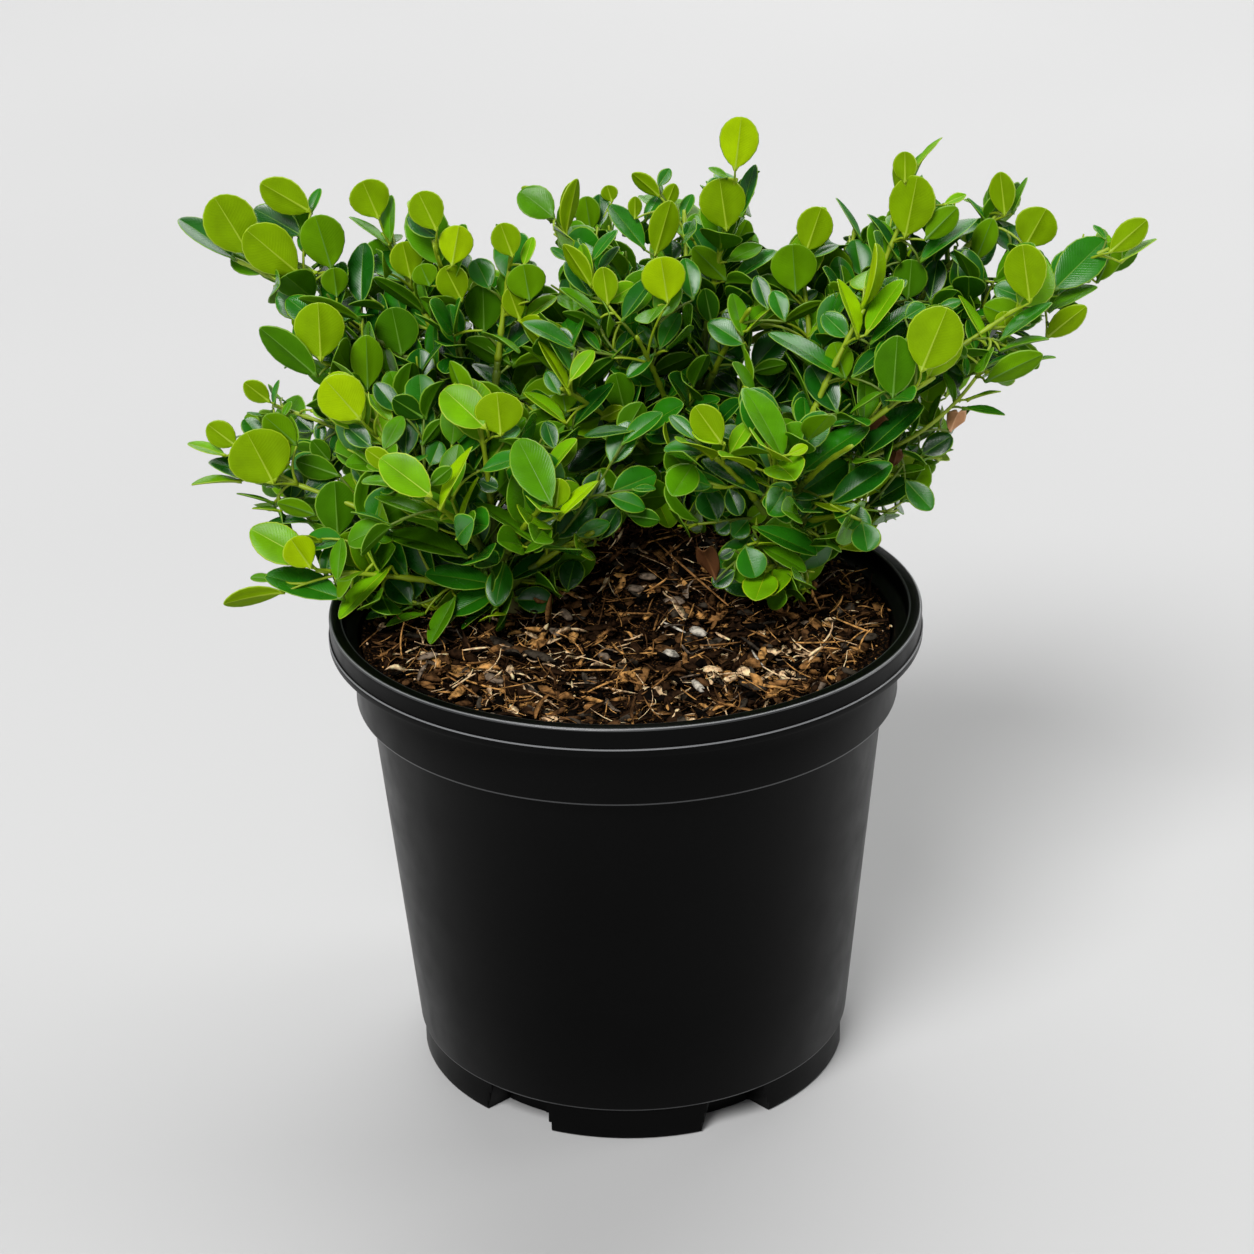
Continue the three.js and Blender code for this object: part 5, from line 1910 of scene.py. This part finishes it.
    def try_twig(self, shoot, share, turn, node):
        """A side twig at a node, as long as it finds room."""
        vigour = min(1.0, 0.35 + 0.13 * node) * (0.75 + 0.5 * shoot["draw"]())
        for shorter in SIDE_SHORTER:
            length = SIDE_LENGTH * vigour * shorter
            if length < LEAST_SIDE:
                return
            line = side_line(shoot["curve"], share, turn, length)
            points = line.points(np.linspace(0.25, 1, 10))
            if not self.space.is_clear_of_pot(points) or self.space.hits(points) > 0:
                continue
            if not self.picture.allows(points):
                continue
            near = np.concatenate([line.point(t) + AROUND_TWIG for t in (0.6, 0.8, 1.0)])
            if self.space.hits(near) > TWIG_ROOM:
                continue
            self.mark_limb(line, 0.1, 1)
            self.side_twigs.append(new_twig(shoot, line, turn=turn, node=node))
            return

    def has_room(self, samples):
        """Whether a grown leaf is clear of the pot, in the outline, and touches hardly anything."""
        blade = samples[ROOT_SAMPLES:]
        return (
            self.space.is_clear_of_pot(samples)
            and self.space.hits(blade) <= self.leaf_room
            and self.space.hits(blade, SEEN_LEAF) <= SEEN_TOUCH
            and self.picture.allows(samples)
        )

    def place_leaf(self, shoot, curve, turn, **measures):
        """A leaf at a node of a twig, where it finds room; it may swing round the twig to find it."""
        for swing in LEAF_SWINGS:
            leaf = grown_leaf(shoot, curve, turn=turn + swing, **measures)
            samples = leaf_samples(leaf)
            if self.has_room(samples):
                self.space.fill(samples, LEAF)
                self.picture.cover(samples)
                self.leaves.append(leaf)
                return

    def add_end_leaves(self, shoot):
        """The pair at a shoot's end: young, large and nearly round, standing almost upright."""
        for side in (math.pi, 0):
            tone = YOUNG if shoot["draw"]() < END_YOUNG else LIME
            self.place_leaf(shoot, shoot["curve"], shoot["first_turn"] + side, tone=tone, **END_PAIR)

    def add_pair(self, shoot, curve, turn, depth, blunt_share, **measures):
        """The two leaves of a node, whose tones follow from how deep in the crown it lies."""
        draw = shoot["draw"]
        for side in (0, math.pi):
            tone = pick_tone(depth, draw)
            point = BLUNT_POINT if draw() < blunt_share else SHARP_POINT
            self.place_leaf(shoot, curve, turn + side, tone=tone, point=point, **measures)

    def add_main_leaves(self, shoot):
        for node, (share, turn) in enumerate(shoot["nodes"]):
            depth = node + 1
            size = MAIN_SIZES[min(node, len(MAIN_SIZES) - 1)]
            ratio = max(LEAST_RATIO, 0.74 - 0.02 * depth)
            spread = math.radians(min(WIDEST_SPREAD, 22 + 7 * depth))
            measures = {"share": share, "spread": spread, "size": size, "ratio": ratio}
            self.add_pair(shoot, shoot["curve"], turn, depth, MAIN_BLUNT, **measures)

    def add_twig_leaves(self, twig):
        curve = twig["curve"]
        for node in range(max(1, int(curve.length / SIDE_NODE_GAP))):
            share = 0.985 - node * SIDE_NODE_GAP / curve.length
            if share < 0.22:
                break
            turn = twig["turn"] + (node + 1) * math.pi / 2
            depth = twig["node"] * 0.6 + node + 1
            size = 0.82 if node == 0 else 0.78 - 0.03 * node
            spread = math.radians(20 if node == 0 else min(WIDEST_SPREAD, 32 + 8 * node))
            measures = {"share": share, "spread": spread, "size": size, "ratio": SIDE_RATIO}
            self.add_pair(twig["shoot"], curve, turn, depth, SIDE_BLUNT, **measures)


def make_leaf_pieces(crown):
    """One joined piece after another, each of the leaves of some shoots of one stem."""
    materials = leaf_materials()
    triangles_per_leaf = 2 * len(LEAF_QUADS) + len(LEAF_TRIANGLES)
    for stem in crown.stems:
        groups = [[]]
        count = 0
        for shoot in crown.shoots:
            if shoot["stem"] != stem:
                continue
            leaves = [leaf for leaf in crown.leaves if leaf["shoot"] is shoot]
            triangles = len(leaves) * triangles_per_leaf
            count += triangles
            if count > PIECE_TRIANGLES:
                groups.append([])
                count = triangles
            groups[-1].append((shoot, leaves))
        for number, group in enumerate(groups, 1):
            leaves = [leaf for _, shoot_leaves in group for leaf in shoot_leaves]
            batch = Batch()
            for leaf in leaves:
                quad_slots, triangle_slots = SLOTS_BY_TONE[leaf["tone"]]
                batch.add(leaf_points(leaf), LEAF_QUADS, quad_slots, LEAF_TRIANGLES, triangle_slots)
            piece = batch.build(f"leaves_{stem}_{number}", materials, np.tile(LEAF_UV, (len(leaves), 1)))
            finish_piece(piece, [f"foliage_{shoot['name']}" for shoot, _ in group])


OLD_BARK, GREEN_BARK, YOUNG_BARK = range(3)
# The meshes of the limbs: how many sides, how long a step, how rough
STEM_MESH = {"sides": 20, "step": 1.2, "slot": OLD_BARK, "rough": 0.45}
BOUGH_MESH = {"sides": 14, "step": 1.5, "slot": GREEN_BARK, "rough": 0.25}
SHOOT_MESHES = [
    {"sides": 9, "step": 2.5, "slot": GREEN_BARK, "rough": 0.12},
    {"sides": 9, "step": 2.5, "slot": YOUNG_BARK, "rough": 0.08},
]
TWIG_MESH = {"sides": 6, "step": 4}
# Up to this share of a shoot its bark is no longer young
GREEN_SHARE = 0.4


def bark_materials():
    old = Shader("bark_old", roughness=0.7, specular=0.3)
    stops = [(0.3, srgb(44, 42, 20)), (0.5, srgb(74, 76, 30)), (0.7, srgb(108, 102, 58))]
    old.colour(old.noise(90, 4, stretch=(1, 1, 0.35)), stops)
    old.relief(old.noise(500, 4, stretch=(1, 1, 0.3)), distance=0.5, strength=0.7)
    green = plain_material("bark_green", srgb(92, 116, 20), 0.55, variation=0.25, scale=90, relief=0.15)
    young = plain_material("bark_young", srgb(142, 166, 20), 0.5, variation=0.14, scale=90, relief=0.08)
    return [old.material, green, young]


def make_limbs(crown):
    materials = bark_materials()
    stems = Batch()
    for number, stem in enumerate(crown.stems.values()):
        nodes = np.arange(0.15, 1, 11 / stem["curve"].length)
        seed = 7.3 * number
        add_limb(stems, stem["curve"], -0.04, 1.01, stem["radius"], nodes=nodes, seed=seed, **STEM_MESH)
    finish_piece(stems.build("stems", materials), [f"stem_{name}" for name in crown.stems])
    boughs = Batch()
    forked = [shoot for shoot in crown.shoots if shoot["bare"] > 0]
    for shoot in forked:
        curve, end, seed = shoot["curve"], shoot["bare"] + 0.01, shoot["index"]
        nodes = np.arange(0.08, shoot["bare"], 12 / curve.length)
        add_limb(boughs, curve, 0, end, shoot_radius, nodes=nodes, seed=seed, **BOUGH_MESH)
    names = [f"bough_{shoot['name']}" for shoot in forked]
    finish_piece(boughs.build("boughs", materials), names)
    for stem in crown.stems:
        twigs = Batch()
        own = [shoot for shoot in crown.shoots if shoot["stem"] == stem]
        for shoot in own:
            nodes = [share for share, _ in shoot["nodes"]]
            shares = (shoot["bare"], max(shoot["bare"], GREEN_SHARE), 1)
            for start, end, mesh in zip(shares, shares[1:], SHOOT_MESHES):
                add_limb(twigs, shoot["curve"], start, end, shoot_radius, nodes=nodes, **mesh)
        for twig in crown.side_twigs:
            if twig["shoot"]["stem"] == stem:
                slot = YOUNG_BARK if twig["node"] < OLD_WOOD else GREEN_BARK
                radius = partial(twig_radius, girth=twig["girth"])
                add_limb(twigs, twig["curve"], 0, 1, radius, slot=slot, **TWIG_MESH)
        piece = twigs.build(f"twigs_{stem}", materials)
        finish_piece(piece, [f"foliage_{shoot['name']}" for shoot in own])


# Stage


def make_stage():
    """A plain pale floor under a wide soft sun, and weaker suns that give the sheen."""
    floor = Batch()
    ways = ((-1, -1), (1, -1), (1, 1), (-1, 1))
    floor.add([(x * FLOOR_REACH, y * FLOOR_REACH, FLOOR_LEVEL) for x, y in ways], [[0, 1, 2, 3]])
    shader = Shader("floor", roughness=0.7, specular=0.2)
    shader.colour(shader.noise(0.6, 2), [(0.3, srgb(188, 188, 188)), (0.7, srgb(194, 194, 194))])
    floor.build("studio_floor", [shader.material])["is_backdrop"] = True
    world = bpy.data.worlds.new("studio")
    world.use_nodes = True
    world.node_tree.nodes["Background"].inputs["Color"].default_value = (1.0, 1.0, 1.0, 1.0)
    world.node_tree.nodes["Background"].inputs["Strength"].default_value = SKY_STRENGTH
    bpy.context.scene.world = world
    for name, place, width, strength in SUNS:
        sun = bpy.data.lights.new(f"sun_{name}", "SUN")
        sun.angle = math.radians(width)
        sun.energy = strength
        lamp = bpy.data.objects.new(sun.name, sun)
        lamp.rotation_euler = Vector(place).to_track_quat("Z", "Y").to_euler()
        bpy.context.scene.collection.objects.link(lamp)


def make_camera(view):
    camera = bpy.data.cameras.new("camera")
    camera.sensor_fit = "HORIZONTAL"
    camera.sensor_width = SENSOR_WIDTH
    camera.lens = VIEW_LENS
    camera.clip_end = 50.0
    rotation = Matrix(np.stack([view.right, view.up, -view.forward], axis=1).tolist())
    viewer = bpy.data.objects.new("camera", camera)
    viewer.matrix_world = Matrix.Translation(Vector(VIEW_PLACE) * MM) @ rotation.to_4x4()
    bpy.context.scene.collection.objects.link(viewer)
    bpy.context.scene.camera = viewer


view = View()
make_camera(view)
make_stage()
bpy.context.scene.view_settings.view_transform = "Standard"
make_pot()
make_mix_base()
make_mulch(view)
stems = make_stems()
crown = Crown(stems, make_shoots(stems), view)
crown.grow()
make_leaf_pieces(crown)
make_limbs(crown)

bpy.context.view_layer.update()
visual_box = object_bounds()
boxes = [[list(map(float, corner)) for corner in box] for box in (cad_box, visual_box)]
